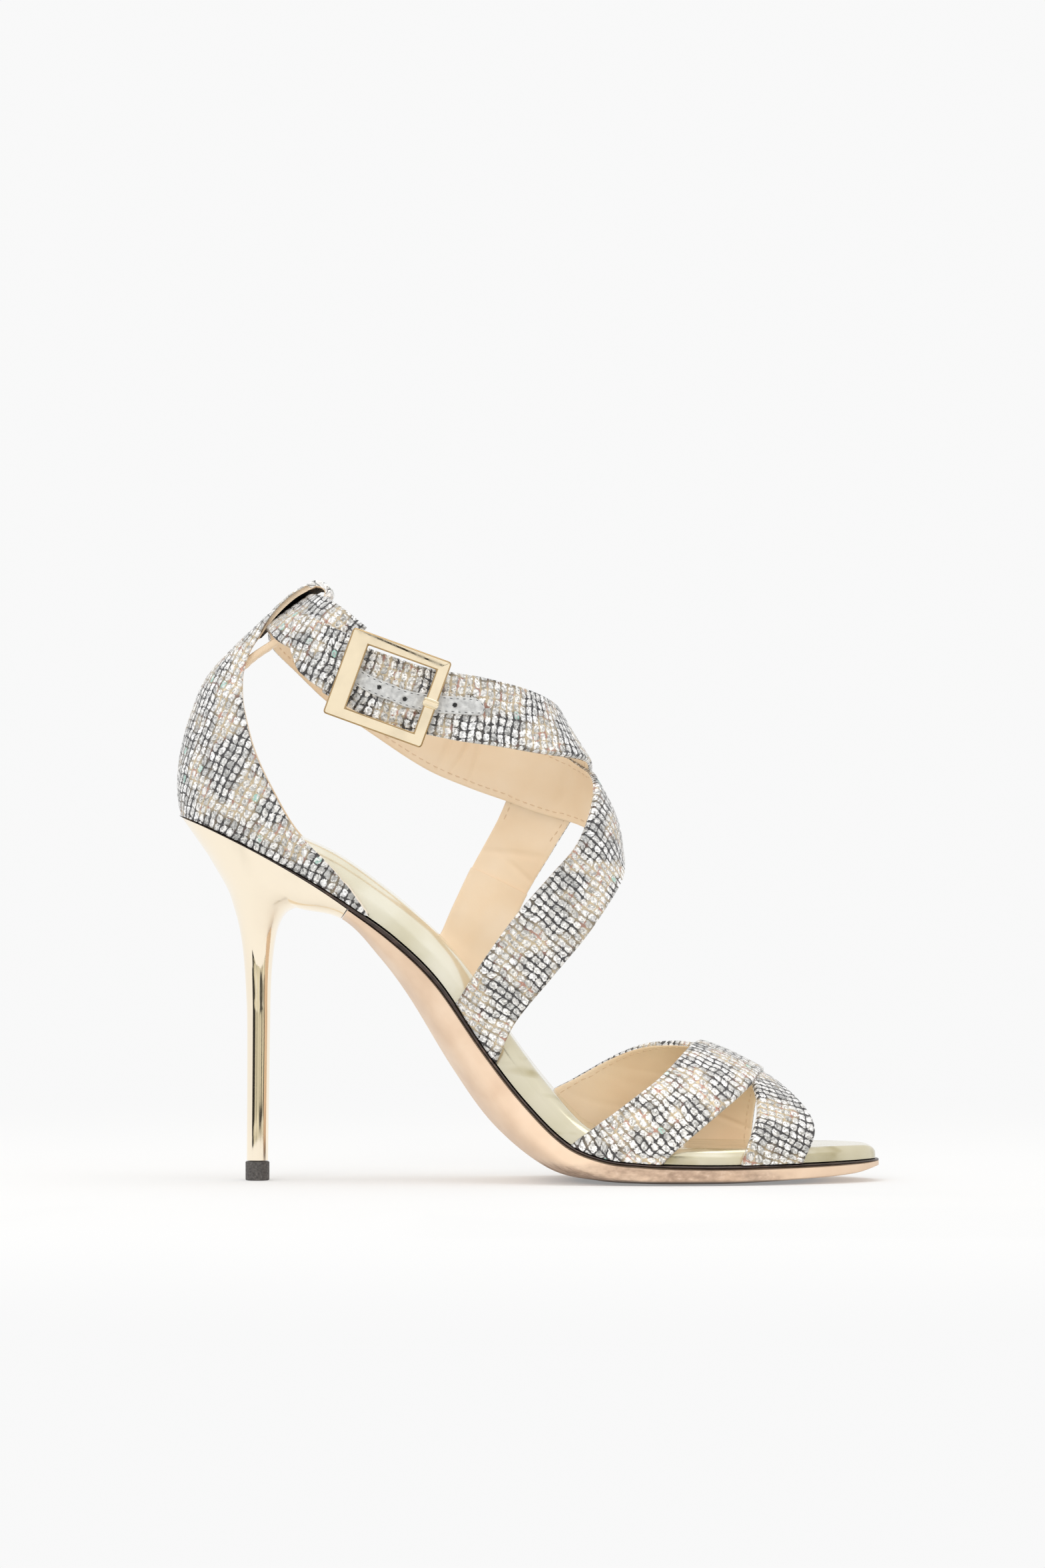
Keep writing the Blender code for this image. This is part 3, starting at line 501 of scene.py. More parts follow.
def tip_points(share, turn):
    size = dict(zip(HEEL_COLUMNS, HEEL_TABLE[0]))
    height = TIP_TOP * share
    ease = np.clip(np.minimum(height, TIP_TOP - height) / TIP_EDGE, 0.0, 1.0)
    grow = TIP_GROW - TIP_EDGE * (1 - np.sqrt(1 - (1 - ease) ** 2))
    along = np.cos(2 * np.pi * turn)
    across = np.sin(2 * np.pi * turn)
    middle = 0.5 * (size["back_x"] + size["breast_x"])
    reach = 0.5 * (size["breast_x"] - size["back_x"]) + grow
    x = middle + reach * squared(along, size["square"])
    y = (size["half"] + grow) * squared(across, size["square"])
    return np.stack([x, y, height], axis=-1)


tip_rubber = finish("tip_rubber", Roughness=0.62)
crumb = place_noise(tip_rubber, *CRUMB_GRAIN)
wire(tip_rubber, "Base Color", ramp(tip_rubber, crumb, CRUMB_TONES))
relief(tip_rubber, crumb, *CRUMB_RELIEF)
tip = closed_loft("heel_tip_block", TIP_GRID, tip_points)
dress(tip, tip_rubber, "tip_rubber", "heel_tip")

# The heel cup is cut from one piece of glitter cloth backed with nude lining leather.
# It is lasted onto the back of the sole, and its top runs up into a tab that is folded over
# the ankle strap and sewn down inside as a loop.
FOOT_INSET = 0.3
COUNTER_THICKNESS = 2.0
COUNTER_FRONT = -48.5
CUP_ROUND = 26.0
COUNTER_COLUMNS = ("back_x", "back_z", "front_x", "front_z", "half")
COUNTER_TABLE = (
    (-106.6, 116.8, -54.9, 89.9, 24.6),
    (-106.6, 122.6, -61.6, 97.8, 25.4),
    (-105.9, 129.5, -70.4, 107.4, 25.2),
    (-104.5, 136.0, -77.4, 119.7, 24.0),
    (-102.4, 142.4, -82.6, 131.3, 21.8),
    (-99.5, 150.0, -85.5, 143.0, 18.6),
    (-96.2, 155.2, -86.1, 149.8, 15.8),
    (-92.5, 159.3, -85.6, 155.6, 13.2),
    (-88.4, 163.4, -83.8, 161.2, 11.0),
    (-84.4, 167.2, -81.2, 165.6, 9.6),
    (-80.6, 171.2, -79.0, 169.8, 9.0),
    (-76.8, 175.0, -76.0, 173.9, 8.8),
    (-72.1, 179.0, -71.6, 178.1, 8.6),
    (-67.5, 181.6, -67.2, 180.9, 8.6),
)
TAB_FOLD = (
    (-64.6, 182.4), (-62.0, 181.8), (-60.0, 180.0), (-59.9, 177.2), (-63.0, 172.8), (-69.2, 168.0),
    (-76.2, 162.8), (-82.2, 158.8), (-86.2, 155.4),
)
FOLD_GLITTER = 22
INSIDE_CUP = (-78.0, 0.0, 150.0)
CUP_STEPS = 60
FOLD_STEPS = 40
CUP_PLACES = np.linspace(-1.0, 1.0, 61)
SEAT_SLOPE = math.radians(27.6)
CELL_LONG = 2.3
CELL_WIDE = 2.6
CELL_RELIEF = 0.17
CELL_SQUARE = 4.0
EDGE_ROLL = 0.4
INNER_ROLL = 0.4
EDGE_CROWDING = 0.3
CLOTH, LINING, CUT_EDGE, PAINTED_LOOP_SHADE = 0, 1, 2, 3
CELL_START = 0.1
CELL_SWAY_ALONG, CELL_DRIFT_ALONG = (0.06, 2.1, 1.3, 0.7), (0.07, 0.9, 1.4)
CELL_SWAY_ACROSS, CELL_DRIFT_ACROSS = (0.08, 1.9, 1.7, 0.8), (0.07, 2.7, -0.6)
TAB_CELLS_ROW = -4
TAB_ROW = -5
COUNTER_GRID = (250, 130)
LOOP_LEAN = 2.2
LOOP_BAND = -0.62
FAR_TUCK = 0.9
FAR_TUCK_REACH = 12.0
LOOP_INWARD = (0.66, 0.0, -0.75)
CELL_CHANCE = {"Scale": 1.0, "Randomness": 0.0}
FLAKE_CHANCE = {"Scale": 5.0, "Randomness": 1.0}
PATCH_NOISE = {"Scale": 0.24, "Detail": 1.5, "Roughness": 0.5}
STRAY_NOISE = {"Scale": 0.8, "Detail": 1.0}
PATCH_DARK = (0.34, 0.56)
LINE_RAGGED = 0.13
ROW_LINE = 2.2
COLUMN_LINE = 1.96
SILVER_TONES = (
    (0.00, (0.50, 0.50, 0.49)), (0.22, (0.68, 0.68, 0.67)), (0.48, (0.84, 0.83, 0.81)),
    (0.74, (0.95, 0.94, 0.92)), (1.00, (1.0, 1.0, 1.0)),
)
CREAM_TONES = (
    (0.00, (0.60, 0.52, 0.40)), (0.35, (0.82, 0.77, 0.67)), (0.75, (0.95, 0.92, 0.86)),
    (1.00, (1.0, 0.99, 0.96)),
)
CREAM_SHARE = (0.0, 1.0, 0.36, 0.06)
FLAKE_SHADE = (0.0, 1.0, 0.56, 1.26)
FLAKE_GLOSS = (0.0, 1.0, 0.16, 0.45)
FLAKE_TILT = 0.4
TEAL = (0.42, 0.66, 0.58, 1.0)
TEAL_CELLS = (0.988, 0.993)
TEAL_FLAKES = (0.3, 0.6)
GOLD_LINE = (0.56, 0.44, 0.27, 1.0)
RUST_LINE = (0.46, 0.21, 0.14, 1.0)
RUST_PATCH = (0.58, 0.66)
CHARCOAL_LINE = (0.060, 0.057, 0.058, 1.0)
FINE_LINE = (0.80, 1.30, 0.0, 0.85)
BOLD_LINE = (0.82, 1.25)
LINE_SINK = (0.3, 1.0, 1.0, 0.0)
LINE_RELIEF = (0.22 * MM, 0.6)
LINING_CLOUD = (45.0, 3.0)
LINING_TONES = ((0.32, (0.87, 0.68, 0.48)), (0.52, (0.91, 0.74, 0.54)), (0.72, (0.94, 0.79, 0.61)))
LINING_GRAIN = (1300.0, 3.0)
LINING_RELIEF = (0.06 * MM, 0.4)
LINING_SHADE = 1.0
CUP_LINING_SHADE = 0.99


def sheet_grid(points, along, across):
    """Resamples rows of points smoothly, evenly along the rows' middle and closer at the edges."""
    middle = points[:, points.shape[1] // 2]
    run = np.concatenate([[0.0], np.cumsum(np.linalg.norm(np.diff(middle, axis=0), axis=1))])
    fine = through(run, points, np.linspace(0.0, run[-1], along + 1))
    share = crowded(np.linspace(0.0, 1.0, across + 1), EDGE_CROWDING)
    return through(np.linspace(0.0, 1.0, points.shape[1]), fine.swapaxes(0, 1), share).swapaxes(0, 1)


def outward(points, inside):
    """Unit normals of a sheet of points, pointing away from the inside point."""
    normal = np.cross(np.gradient(points, axis=0), np.gradient(points, axis=1))
    normal /= np.linalg.norm(normal, axis=-1, keepdims=True)
    return normal if (normal * (points - np.array(inside))).sum() > 0 else -normal


def run_across(points):
    steps = np.linalg.norm(np.diff(points, axis=1), axis=-1)
    return np.concatenate([np.zeros((len(points), 1)), np.cumsum(steps, axis=1)], axis=1)


def sway(over, along, size, pace, bend, bend_pace):
    return size * np.sin(pace * over + bend * np.sin(bend_pace * along))


def drift(u, v, size, pace_u, pace_v):
    return size * np.sin(pace_u * u + pace_v * v)


def uneven(cells):
    """Shifts the cells' rows and columns a little, as in a hand-laid pattern."""
    u, v = cells[..., 0], cells[..., 1]
    shift_u = sway(v, u, *CELL_SWAY_ALONG) + drift(u, v, *CELL_DRIFT_ALONG)
    shift_v = sway(u, v, *CELL_SWAY_ACROSS) + drift(u, v, *CELL_DRIFT_ACROSS)
    return np.stack([u + shift_u, v + shift_v], axis=-1)


def coats(rows, outer=CLOTH, rim=CLOTH, inner=LINING):
    """Each row's materials on the outside, at the edges and inside."""
    return np.repeat([[outer], [rim], [inner]], rows, axis=1)


def cloth_piece(name, points, inside, thickness, cells, layers, creases=0.0):
    """A closed strip of cloth over lining: cells domed on the outside, round at its edges."""
    normal = outward(points, inside)
    run = run_across(points)
    edge = np.minimum(run, run[:, -1:] - run)
    radius = EDGE_ROLL * thickness
    bend = 1 - np.clip(edge / radius, 0.0, 1.0)
    roll = (radius * (1 - np.sqrt(1 - bend ** 2)))[..., None]
    off = np.abs(2 * (cells - np.rint(cells))) ** CELL_SQUARE
    dome = CELL_RELIEF * (1 - np.clip(off.sum(-1), 0.0, 1.0) ** (2 / CELL_SQUARE))[..., None]
    outer = points + normal * (dome - 0.5 * CELL_RELIEF - roll)
    pressed = np.reshape(creases, np.shape(creases) + (1,))
    inner = points - normal * (thickness - INNER_ROLL * roll - pressed)
    body = bmesh.new()
    rows, columns = points.shape[:2]
    bmesh.ops.create_grid(body, x_segments=rows - 1, y_segments=columns - 1, size=0.5)
    made = bmesh.ops.extrude_face_region(body, geom=body.faces[:], use_keep_orig=True)
    raised = {item for item in made["geom"] if isinstance(item, bmesh.types.BMVert)}
    spots = []
    for vert in body.verts:
        row = round((vert.co.x + 0.5) * (rows - 1))
        column = round((vert.co.y + 0.5) * (columns - 1))
        above = vert in raised
        spots.append((row, column, above))
        vert.co = (outer if above else inner)[row, column] * MM
    body.verts.index_update()
    pattern = body.loops.layers.uv.new("cells")
    under = thickness / CELL_WIDE
    bmesh.ops.recalc_face_normals(body, faces=body.faces)
    for face in body.faces:
        sides = [spots[loop.vert.index] for loop in face.loops]
        count = sum(above for _, _, above in sides)
        lowest = min(row for row, _, _ in sides)
        mixed = 0 < count < len(sides)
        face.material_index = int(layers[1 if mixed else 0 if count else 2][lowest])
        for loop, (row, column, above) in zip(face.loops, sides):
            u, v = cells[row, column]
            if mixed and not above:
                v += -under if column == 0 else under if column == columns - 1 else 0.0
            loop[pattern].uv = (u, v)
    for line in body.edges:
        line.smooth = len({face.material_index for face in line.link_faces}) == 1
    return show(name, body), inner, normal


def counter_rows():
    angle = 0.5 * np.pi * CUP_PLACES
    lift = 1 - np.cos(angle)
    side = np.where(CUP_PLACES < 0, -1.0, 1.0)
    x = SOLE_BACK + FOOT_INSET + (COUNTER_FRONT - SOLE_BACK - FOOT_INSET) * lift
    rows = [sole_points(x, side * half_width(x, side, FOOT_INSET), GAP)]
    for at in np.linspace(0.0, len(COUNTER_TABLE) - 1, CUP_STEPS + 1):
        size = {name: float(through(range(len(COUNTER_TABLE)), [row[place] for row in COUNTER_TABLE], at))
                for place, name in enumerate(COUNTER_COLUMNS)}
        back = np.array([size["back_x"], 0.0, size["back_z"]])
        front = np.array([size["front_x"], 0.0, size["front_z"]])
        row = back + (front - back) * lift[:, None]
        length = np.linalg.norm(front - back)
        turn = 1 - np.minimum(length * lift / min(length, CUP_ROUND), 1.0)
        row[:, 1] = np.sign(CUP_PLACES) * size["half"] * np.sqrt(1 - turn ** 2)
        rows.append(row)
    for at in np.linspace(0.0, len(TAB_FOLD) - 1, FOLD_STEPS + 1):
        x, z = through(range(len(TAB_FOLD)), TAB_FOLD, at)
        y = COUNTER_TABLE[-1][-1] * CUP_PLACES
        rows.append(np.stack([np.full_like(y, x), y, np.full_like(y, z)], axis=-1))
    return np.array(rows)


def counter_cells(points):
    """Cells square to the heel seat on the cup, mirrored at the back, then straight along the tab."""
    along = points[..., 0] * math.cos(SEAT_SLOPE) - points[..., 2] * math.sin(SEAT_SLOPE)
    height = points[..., 0] * math.sin(SEAT_SLOPE) + points[..., 2] * math.cos(SEAT_SLOPE)
    level = (np.diff(points, axis=1) ** 2).sum(-1) - np.diff(height, axis=1) ** 2
    level = np.cumsum(np.sqrt(np.maximum(level, 0.0)), axis=1)
    run = np.concatenate([np.zeros((len(points), 1)), level], axis=1)
    middle = run.shape[1] // 2
    side = int(CELL_START * run.shape[1])
    back = along[:, side] - run[:, middle] + run[:, side]
    top = int(np.argmax(points[:, middle, 2] > COUNTER_TABLE[TAB_CELLS_ROW][1]))
    back[top:] = back[top]
    steps = np.linalg.norm(np.diff(points[:, middle], axis=0), axis=1)
    height[top:] = height[top] + np.concatenate([[0.0], np.cumsum(steps[top:])])[:, None]
    across = back[:, None] + np.abs(run - run[:, [middle]])
    return uneven(np.stack([across / CELL_LONG, height / CELL_WIDE], axis=-1))


def glitter_cloth():
    """Rounded silver cells in rows, parted by lines: charcoal in some patches, gold in others."""
    cloth = finish("glitter_cloth", Metallic=0.3, Specular_IOR_Level=0.6)
    spot = node(cloth, "UVMap", {}, uv_map="cells").outputs["UV"]
    place = node(cloth, "SeparateXYZ", {"Vector": spot}).outputs

    def chances(sockets):
        """Three numbers by chance for each cell of a pattern."""
        sockets = {"Vector": spot, **sockets}
        cell = node(cloth, "TexVoronoi", sockets, voronoi_dimensions="2D").outputs["Color"]
        return node(cloth, "SeparateColor", {"Color": cell}).outputs

    def patches(sockets):
        return node(cloth, "TexNoise", {"Vector": spot, **sockets}, noise_dimensions="2D").outputs["Fac"]

    def share_of_line(output, breadth):
        """Rises steeply towards the line between two cells; a larger breadth makes a wider line."""
        away = reckon(cloth, "PINGPONG", output, 0.5)
        away = reckon(cloth, "MULTIPLY_ADD", flake["Green"], LINE_RAGGED, away)
        return reckon(cloth, "POWER", reckon(cloth, "MULTIPLY", away, breadth), CELL_SQUARE)

    chance = chances(CELL_CHANCE)
    flake = chances(FLAKE_CHANCE)
    dark = grade(cloth, patches(PATCH_NOISE), *PATCH_DARK)
    rows = share_of_line(place["X"], ROW_LINE)
    columns = share_of_line(place["Y"], COLUMN_LINE)
    seam = reckon(cloth, "ADD", rows, columns)
    silver = ramp(cloth, chance["Red"], SILVER_TONES)
    cream = ramp(cloth, flake["Blue"], CREAM_TONES)
    cells = blend(cloth, grade(cloth, dark, *CREAM_SHARE), silver, cream)
    shade = grade(cloth, flake["Red"], *FLAKE_SHADE)
    cells = blend(cloth, 1.0, cells, shade, blend_type="MULTIPLY")
    teal_cells = grade(cloth, chance["Blue"], *TEAL_CELLS)
    teal_flakes = grade(cloth, flake["Green"], *TEAL_FLAKES)
    cells = blend(cloth, reckon(cloth, "MULTIPLY", teal_cells, teal_flakes), cells, TEAL)
    warm = blend(cloth, grade(cloth, patches(STRAY_NOISE), *RUST_PATCH), GOLD_LINE, RUST_LINE)
    lines = blend(cloth, dark, warm, CHARCOAL_LINE)
    fine = grade(cloth, seam, *FINE_LINE)
    bold = grade(cloth, seam, *BOLD_LINE)
    shown = node(cloth, "Mix", {"Factor": dark, "A": fine, "B": bold}, data_type="FLOAT").outputs["Result"]
    wire(cloth, "Base Color", blend(cloth, shown, cells, lines))
    wire(cloth, "Roughness", grade(cloth, flake["Blue"], *FLAKE_GLOSS))
    tilt = node(cloth, "CombineColor", {"Red": flake["Red"], "Green": flake["Green"], "Blue": 1.0})
    facing = {"Color": tilt.outputs["Color"], "Strength": FLAKE_TILT}
    facing = node(cloth, "NormalMap", facing, uv_map="cells").outputs["Normal"]
    relief(cloth, grade(cloth, seam, *LINE_SINK), *LINE_RELIEF, facing)
    return cloth


def lining_leather(name, shade):
    """Smooth nude leather with a faint grain and soft clouds of colour; a low shade makes it darker."""
    leather = finish(name, Roughness=0.5, Specular_IOR_Level=0.3)
    tones = [(place, [min(shade * part, 1.0) for part in tone]) for place, tone in LINING_TONES]
    wire(leather, "Base Color", ramp(leather, place_noise(leather, *LINING_CLOUD), tones))
    relief(leather, place_noise(leather, *LINING_GRAIN), *LINING_RELIEF)
    return leather


glitter = glitter_cloth()
lining = lining_leather("lining_leather", LINING_SHADE)
counter_sheet = sheet_grid(counter_rows(), *COUNTER_GRID)
counter_middle = counter_sheet[:, counter_sheet.shape[1] // 2]
fold_row = int(np.argmax(counter_middle[:, 0] > TAB_FOLD[0][0]) + FOLD_GLITTER)
tab_row = int(np.argmax(counter_middle[:, 2] > COUNTER_TABLE[TAB_ROW][1]))
loop = np.sin(np.pi * np.clip((np.arange(len(counter_sheet)) - tab_row) / (fold_row - tab_row), 0.0, 1.0))
tab_half = COUNTER_TABLE[-1][-1]
lean = LOOP_LEAN * loop[:, None] * np.clip(0.5 + 0.5 * counter_sheet[..., 1] / tab_half, 0.0, 1.0)
counter_sheet = counter_sheet + lean[..., None] * np.array(LOOP_INWARD)
far_side = np.clip(counter_sheet[:tab_row, :, 1] / FAR_TUCK_REACH, 0.0, 1.0)
counter_sheet[:tab_row, :, 0] -= FAR_TUCK * far_side
counter_coats = coats(len(counter_sheet), CLOTH, CUT_EDGE, LINING)
# The far inside of the loop gets a near-black material, painted shade in the narrow gap under the tab.
counter_coats[:, tab_row:fold_row] = coats(fold_row - tab_row, CLOTH, CLOTH, PAINTED_LOOP_SHADE)
counter_coats[:, fold_row:] = LINING
counter, _, _ = cloth_piece("heel_cup", counter_sheet, INSIDE_CUP, COUNTER_THICKNESS,
                            counter_cells(counter_sheet), counter_coats)
for face in counter.data.polygons:
    if face.material_index == PAINTED_LOOP_SHADE and face.center.y < LOOP_BAND * tab_half * MM:
        face.material_index = LINING
cup_lining = lining_leather("cup_lining", CUP_LINING_SHADE)
cut_edge = finish("cut_edge", Base_Color=(0.90, 0.82, 0.70, 1.0), Roughness=0.6)
# Painted shade: near-black for the inside of the loop.
loop_painted_shade = finish("loop_painted_shade", Base_Color=(0.05, 0.045, 0.042, 1.0), Roughness=0.7)
counter.data.materials.append(glitter)
counter.data.materials.append(cup_lining)
counter.data.materials.append(cut_edge)
dress(counter, loop_painted_shade, "glitter_counter", "counter")

# Two toe straps of the same glitter cloth cross over the foot, lined with nude leather.
# Each is folded round its lining at the edges, stitched from below and lasted in between
# the footbed and the sole; the near one lies over the far one.
STRAP_THICKNESS = 2.0
CROSSING_RISE = 1.3
INSIDE_TOES = (50.0, 0.0, 8.0)
TOE_OVER = (
    (0.0, 12.7, 40.5),
    (12.0, 21.8, 49.8),
    (24.0, 30.6, 57.2),
    (37.0, 38.6, 63.2),
    (52.0, 44.6, 67.6),
    (70.0, 49.2, 70.4),
    (90.0, 52.4, 72.0),
    (110.0, 53.4, 72.4),
    (130.0, 52.6, 71.6),
    (150.0, 50.4, 70.4),
    (168.0, 48.4, 69.4),
    (180.0, 47.2, 68.8),
)
TOE_UNDER = (
    (0.0, 64.4, 83.2),
    (14.0, 67.2, 85.6),
    (30.0, 69.4, 86.9),
    (48.0, 69.2, 85.8),
    (66.0, 66.8, 81.8),
    (84.0, 60.6, 76.0),
    (100.0, 50.4, 70.0),
    (116.0, 39.0, 64.0),
    (132.0, 29.2, 58.0),
    (148.0, 19.4, 52.0),
    (164.0, 9.4, 46.0),
    (180.0, 0.5, 40.0),
)
VAMP_TABLE = (
    (0.0, 61.0), (10.0, 56.0), (20.0, 51.6), (30.0, 48.0), (40.0, 45.0), (50.0, 42.4),
    (60.0, 39.0), (70.0, 34.0), (80.0, 28.2), (90.0, 22.0),
)
VAMP_SQUARE = 2.25
STITCH_PITCH = 2.5
STITCH_SIZE = (1.75, 0.42, 0.34)
STITCH_IN = 2.0
STITCH_ROUND = {"u_segments": 6, "v_segments": 4, "radius": 0.5}
STITCH_PATH_STEP = 4
TOE_STEPS = 60
TOE_GRID = (260, 52)
FAR_TOE_CELLS = 40
NEAR_TOE_CELLS = 120
STRAP_ROWS = np.linspace(0.0, 1.0, 9)


def vamp_points(x, degrees, rise):
    """Points on the foot's top, rise further out in the middle of the strap's way over."""
    angle = math.radians(degrees)
    side = -1.0 if degrees < 90 else 1.0
    out = rise * math.sin(angle)
    base = sole_points(x, np.zeros_like(x), GAP)[..., 2]
    width = half_width(x, side, FOOT_INSET) + out
    tops = through([row[0] for row in VAMP_TABLE], [row[1] for row in VAMP_TABLE], x)
    y = side * width * abs(math.cos(angle)) ** (2 / VAMP_SQUARE)
    z = base + (tops + out - base) * math.sin(angle) ** (2 / VAMP_SQUARE)
    return np.stack([x, y, z], axis=-1)


def toe_rows(table, rise, steps):
    degrees = [row[0] for row in table]
    rows = []
    for at in np.linspace(degrees[0], degrees[-1], steps + 1):
        back, front = through(degrees, [row[1:] for row in table], at)
        rows.append(vamp_points(front + (back - front) * STRAP_ROWS, at, rise))
    return np.array(rows)


def strap_cells(points, start):
    """Cells square to a strap's run, counted from its first row and its middle line."""
    ahead = np.gradient(points, axis=0)
    ahead /= np.linalg.norm(ahead, axis=-1, keepdims=True)
    steps = np.diff(points, axis=1)
    slip = (steps * 0.5 * (ahead[:, 1:] + ahead[:, :-1])).sum(-1)
    reach = np.sqrt(np.maximum((steps ** 2).sum(-1) - slip ** 2, 0.0))
    zero = np.zeros((len(points), 1))
    slip = np.concatenate([zero, np.cumsum(slip, axis=1)], axis=1)
    reach = np.concatenate([zero, np.cumsum(reach, axis=1)], axis=1)
    middle = points.shape[1] // 2
    along = run_along(points)[:, None] + slip - slip[:, [middle]]
    return uneven(np.stack([start + along / CELL_LONG, (reach - reach[:, [middle]]) / CELL_WIDE], axis=-1))


def run_along(points):
    middle = points[:, points.shape[1] // 2]
    return np.concatenate([[0.0], np.cumsum(np.linalg.norm(np.diff(middle, axis=0), axis=1))])


def crease_depths(rows, sheet, creases):
    """Folds pressed into the lining; each is (table row, place across, slant, length, width, depth)."""
    run = run_along(sheet)[:, None]
    across = run_across(sheet)
    share = across / across[:, -1:]
    knots = run_along(rows)
    depth = np.zeros(share.shape)
    for row, middle, slant, length, width, deep in creases:
        start = np.interp(row, np.arange(len(knots)), knots)
        away = (run - start - slant * (share - middle)) / width
        depth += deep * np.exp(-away ** 2 - ((share - middle) / length) ** 2)
    return depth


def stitch_line(body, path, facing, pitch, size):
    """A row of small raised stitches along a path, facing the side they are seen from."""
    run = np.concatenate([[0.0], np.cumsum(np.linalg.norm(np.diff(path, axis=0), axis=1))])
    for at in np.arange(0.5 * pitch, run[-1], pitch):
        ahead = through(run, path, at + 0.5 * size[0])
        along = Vector(ahead - through(run, path, at - 0.5 * size[0])).normalized()
        up = Vector(through(run, facing, at)).normalized()
        side = up.cross(along).normalized()
        place = Matrix((along * size[0], side * size[1], along.cross(side) * size[2]))
        place = place.transposed().to_4x4()
        place.translation = Vector(through(run, path, at))
        bmesh.ops.create_uvsphere(body, matrix=Matrix.Scale(MM, 4) @ place, **STITCH_ROUND)


def seam_columns(run, edge):
    """Each row's column that lies edge in from its first side, or from the other one if below zero."""
    wanted = edge if edge > 0 else run[:, -1] + edge
    return np.abs(run - np.reshape(wanted, (-1, 1))).argmin(1)


def lining_stitches(name, inner, normal, first):
    """Stitches through the lining, a little in from both its edges."""
    body = bmesh.new()
    rows = np.arange(len(inner))[first::STITCH_PATH_STEP]
    for edge in (STITCH_IN, -STITCH_IN):
        column = seam_columns(run_across(inner), edge)[rows]
        stitch_line(body, inner[rows, column], -normal[rows, column], STITCH_PITCH, STITCH_SIZE)
    bmesh.ops.recalc_face_normals(body, faces=body.faces)
    return show(name, body)


def strap(name, rows, steps, inside, start, slot, owner, creases=(), sewn_from=0):
    """A strap in glitter cloth with its lining and its stitches; gives its lining's points."""
    points = sheet_grid(rows, *steps)
    piece, inner, normal = cloth_piece(name, points, inside, STRAP_THICKNESS, strap_cells(points, start),
                                       coats(len(points)), crease_depths(rows, points, creases))
    piece.data.materials.append(glitter)
    dress(piece, lining, slot, owner)
    dress(lining_stitches(name + "_stitches", inner, normal, sewn_from), thread, slot, owner)
    return inner


thread = finish("stitching_thread", Base_Color=(0.78, 0.60, 0.42, 1.0), Roughness=0.6)
FAR_TOE_CREASES = (
    (46.0, 0.3, 4.0, 0.5, 1.6, 0.16), (50.0, 0.5, -5.0, 0.6, 2.0, 0.14),
    (54.0, 0.4, 3.0, 0.5, 1.4, 0.16),
)
NEAR_TOE_CREASES = ((50.0, 0.6, 6.0, 0.4, 0.9, 0.3), (54.0, 0.4, -5.0, 0.5, 0.9, 0.35))
strap("toe_strap_far", toe_rows(TOE_UNDER, 0.0, TOE_STEPS), TOE_GRID, INSIDE_TOES, FAR_TOE_CELLS,
      "glitter_toe", "toe_straps", FAR_TOE_CREASES)
strap("toe_strap_near", toe_rows(TOE_OVER, CROSSING_RISE, TOE_STEPS), TOE_GRID, INSIDE_TOES, NEAR_TOE_CELLS,
      "glitter_toe", "toe_straps", NEAR_TOE_CREASES)

# Two ankle straps, made like the toe straps, rise from the waist of the sole and cross in front.
# The first goes round the back through the heel cup's loop, and its end is folded over
# the buckle's wide bar; the second runs on under the buckle as the strap's end.
INSIDE_ANKLE = (-25.0, 0.0, 130.0)
LEG_COLUMNS = ("z", "back", "front", "half")
LEG_TABLE = (
    (30.0, -38.0, 66.0, 25.0),
    (47.0, -44.0, 54.5, 25.5),
    (61.0, -50.0, 46.5, 26.8),
    (80.0, -62.0, 37.0, 28.6),
    (95.3, -80.0, 30.0, 30.2),
    (110.0, -95.0, 27.2, 31.5),
    (124.0, -98.0, 20.3, 32.0),
    (140.0, -95.0, 10.4, 32.0),
    (155.0, -88.5, 2.6, 31.5),
    (168.0, -78.8, -3.0, 30.0),
    (181.0, -61.0, -8.0, 27.0),
)
LEG_SQUARE = 2.5
FIRST_STRAP_FOOT = (-22.2, -10.2)
FIRST_STRAP = (
    (-100.0, 64.4, -96.4, 48.3),
    (-82.9, 80.7, -82.7, 61.8),
    (-60.9, 93.0, -61.3, 74.7),
    (-44.0, 102.0, -40.8, 84.3),
    (-30.4, 111.9, -20.6, 91.1),
    (-15.2, 119.4, -5.0, 95.6),
    (0.0, 123.6, 10.0, 99.6),
    (15.0, 126.4, 36.7, 107.5),
    (30.3, 130.4, 56.5, 111.9),
    (43.3, 133.7, 64.9, 115.0),
    (59.2, 137.9, 75.9, 119.4),
    (71.3, 142.9, 85.4, 125.1),
    (83.8, 151.4, 93.8, 135.8),
    (93.8, 160.2, 107.1, 145.6),
    (109.8, 168.4, 124.1, 155.0),
    (130.7, 174.2, 147.9, 162.4),
    (155.0, 177.4, 166.0, 167.0),
    (180.0, 178.4, 180.0, 168.0),
    (205.0, 178.2, 200.2, 167.3),
    (221.0, 177.2, 215.0, 164.5),
    (246.9, 173.0, 235.7, 160.2),
    (262.0, 168.0, 248.8, 154.5),
)
SECOND_STRAP_FOOT = (-32.5, -20.5)
SECOND_STRAP = (
    (106.1, 74.3, 97.4, 62.4),
    (95.0, 83.5, 88.3, 74.5),
    (85.0, 95.1, 74.6, 87.1),
    (72.2, 108.9, 56.0, 100.5),
    (64.0, 118.0, 43.0, 110.5),
    (52.0, 127.0, 30.0, 117.5),
    (38.0, 135.0, 17.0, 123.4),
    (20.0, 140.6, 5.0, 126.6),
    (0.0, 144.0, -8.0, 128.2),
    (-18.0, 146.8, -22.0, 129.0),
    (-32.3, 149.2, -36.0, 129.6),
    (-43.7, 150.9, -45.7, 130.2),
    (-57.2, 152.8, -60.2, 131.9),
    (-68.8, 154.1, -72.4, 133.3),
    (-79.0, 155.6, -81.4, 135.2),
    (-88.2, 158.6, -90.2, 138.2),
    (-99.8, 163.2, -98.5, 143.6),
    (-108.0, 166.0, -107.0, 148.0),
)
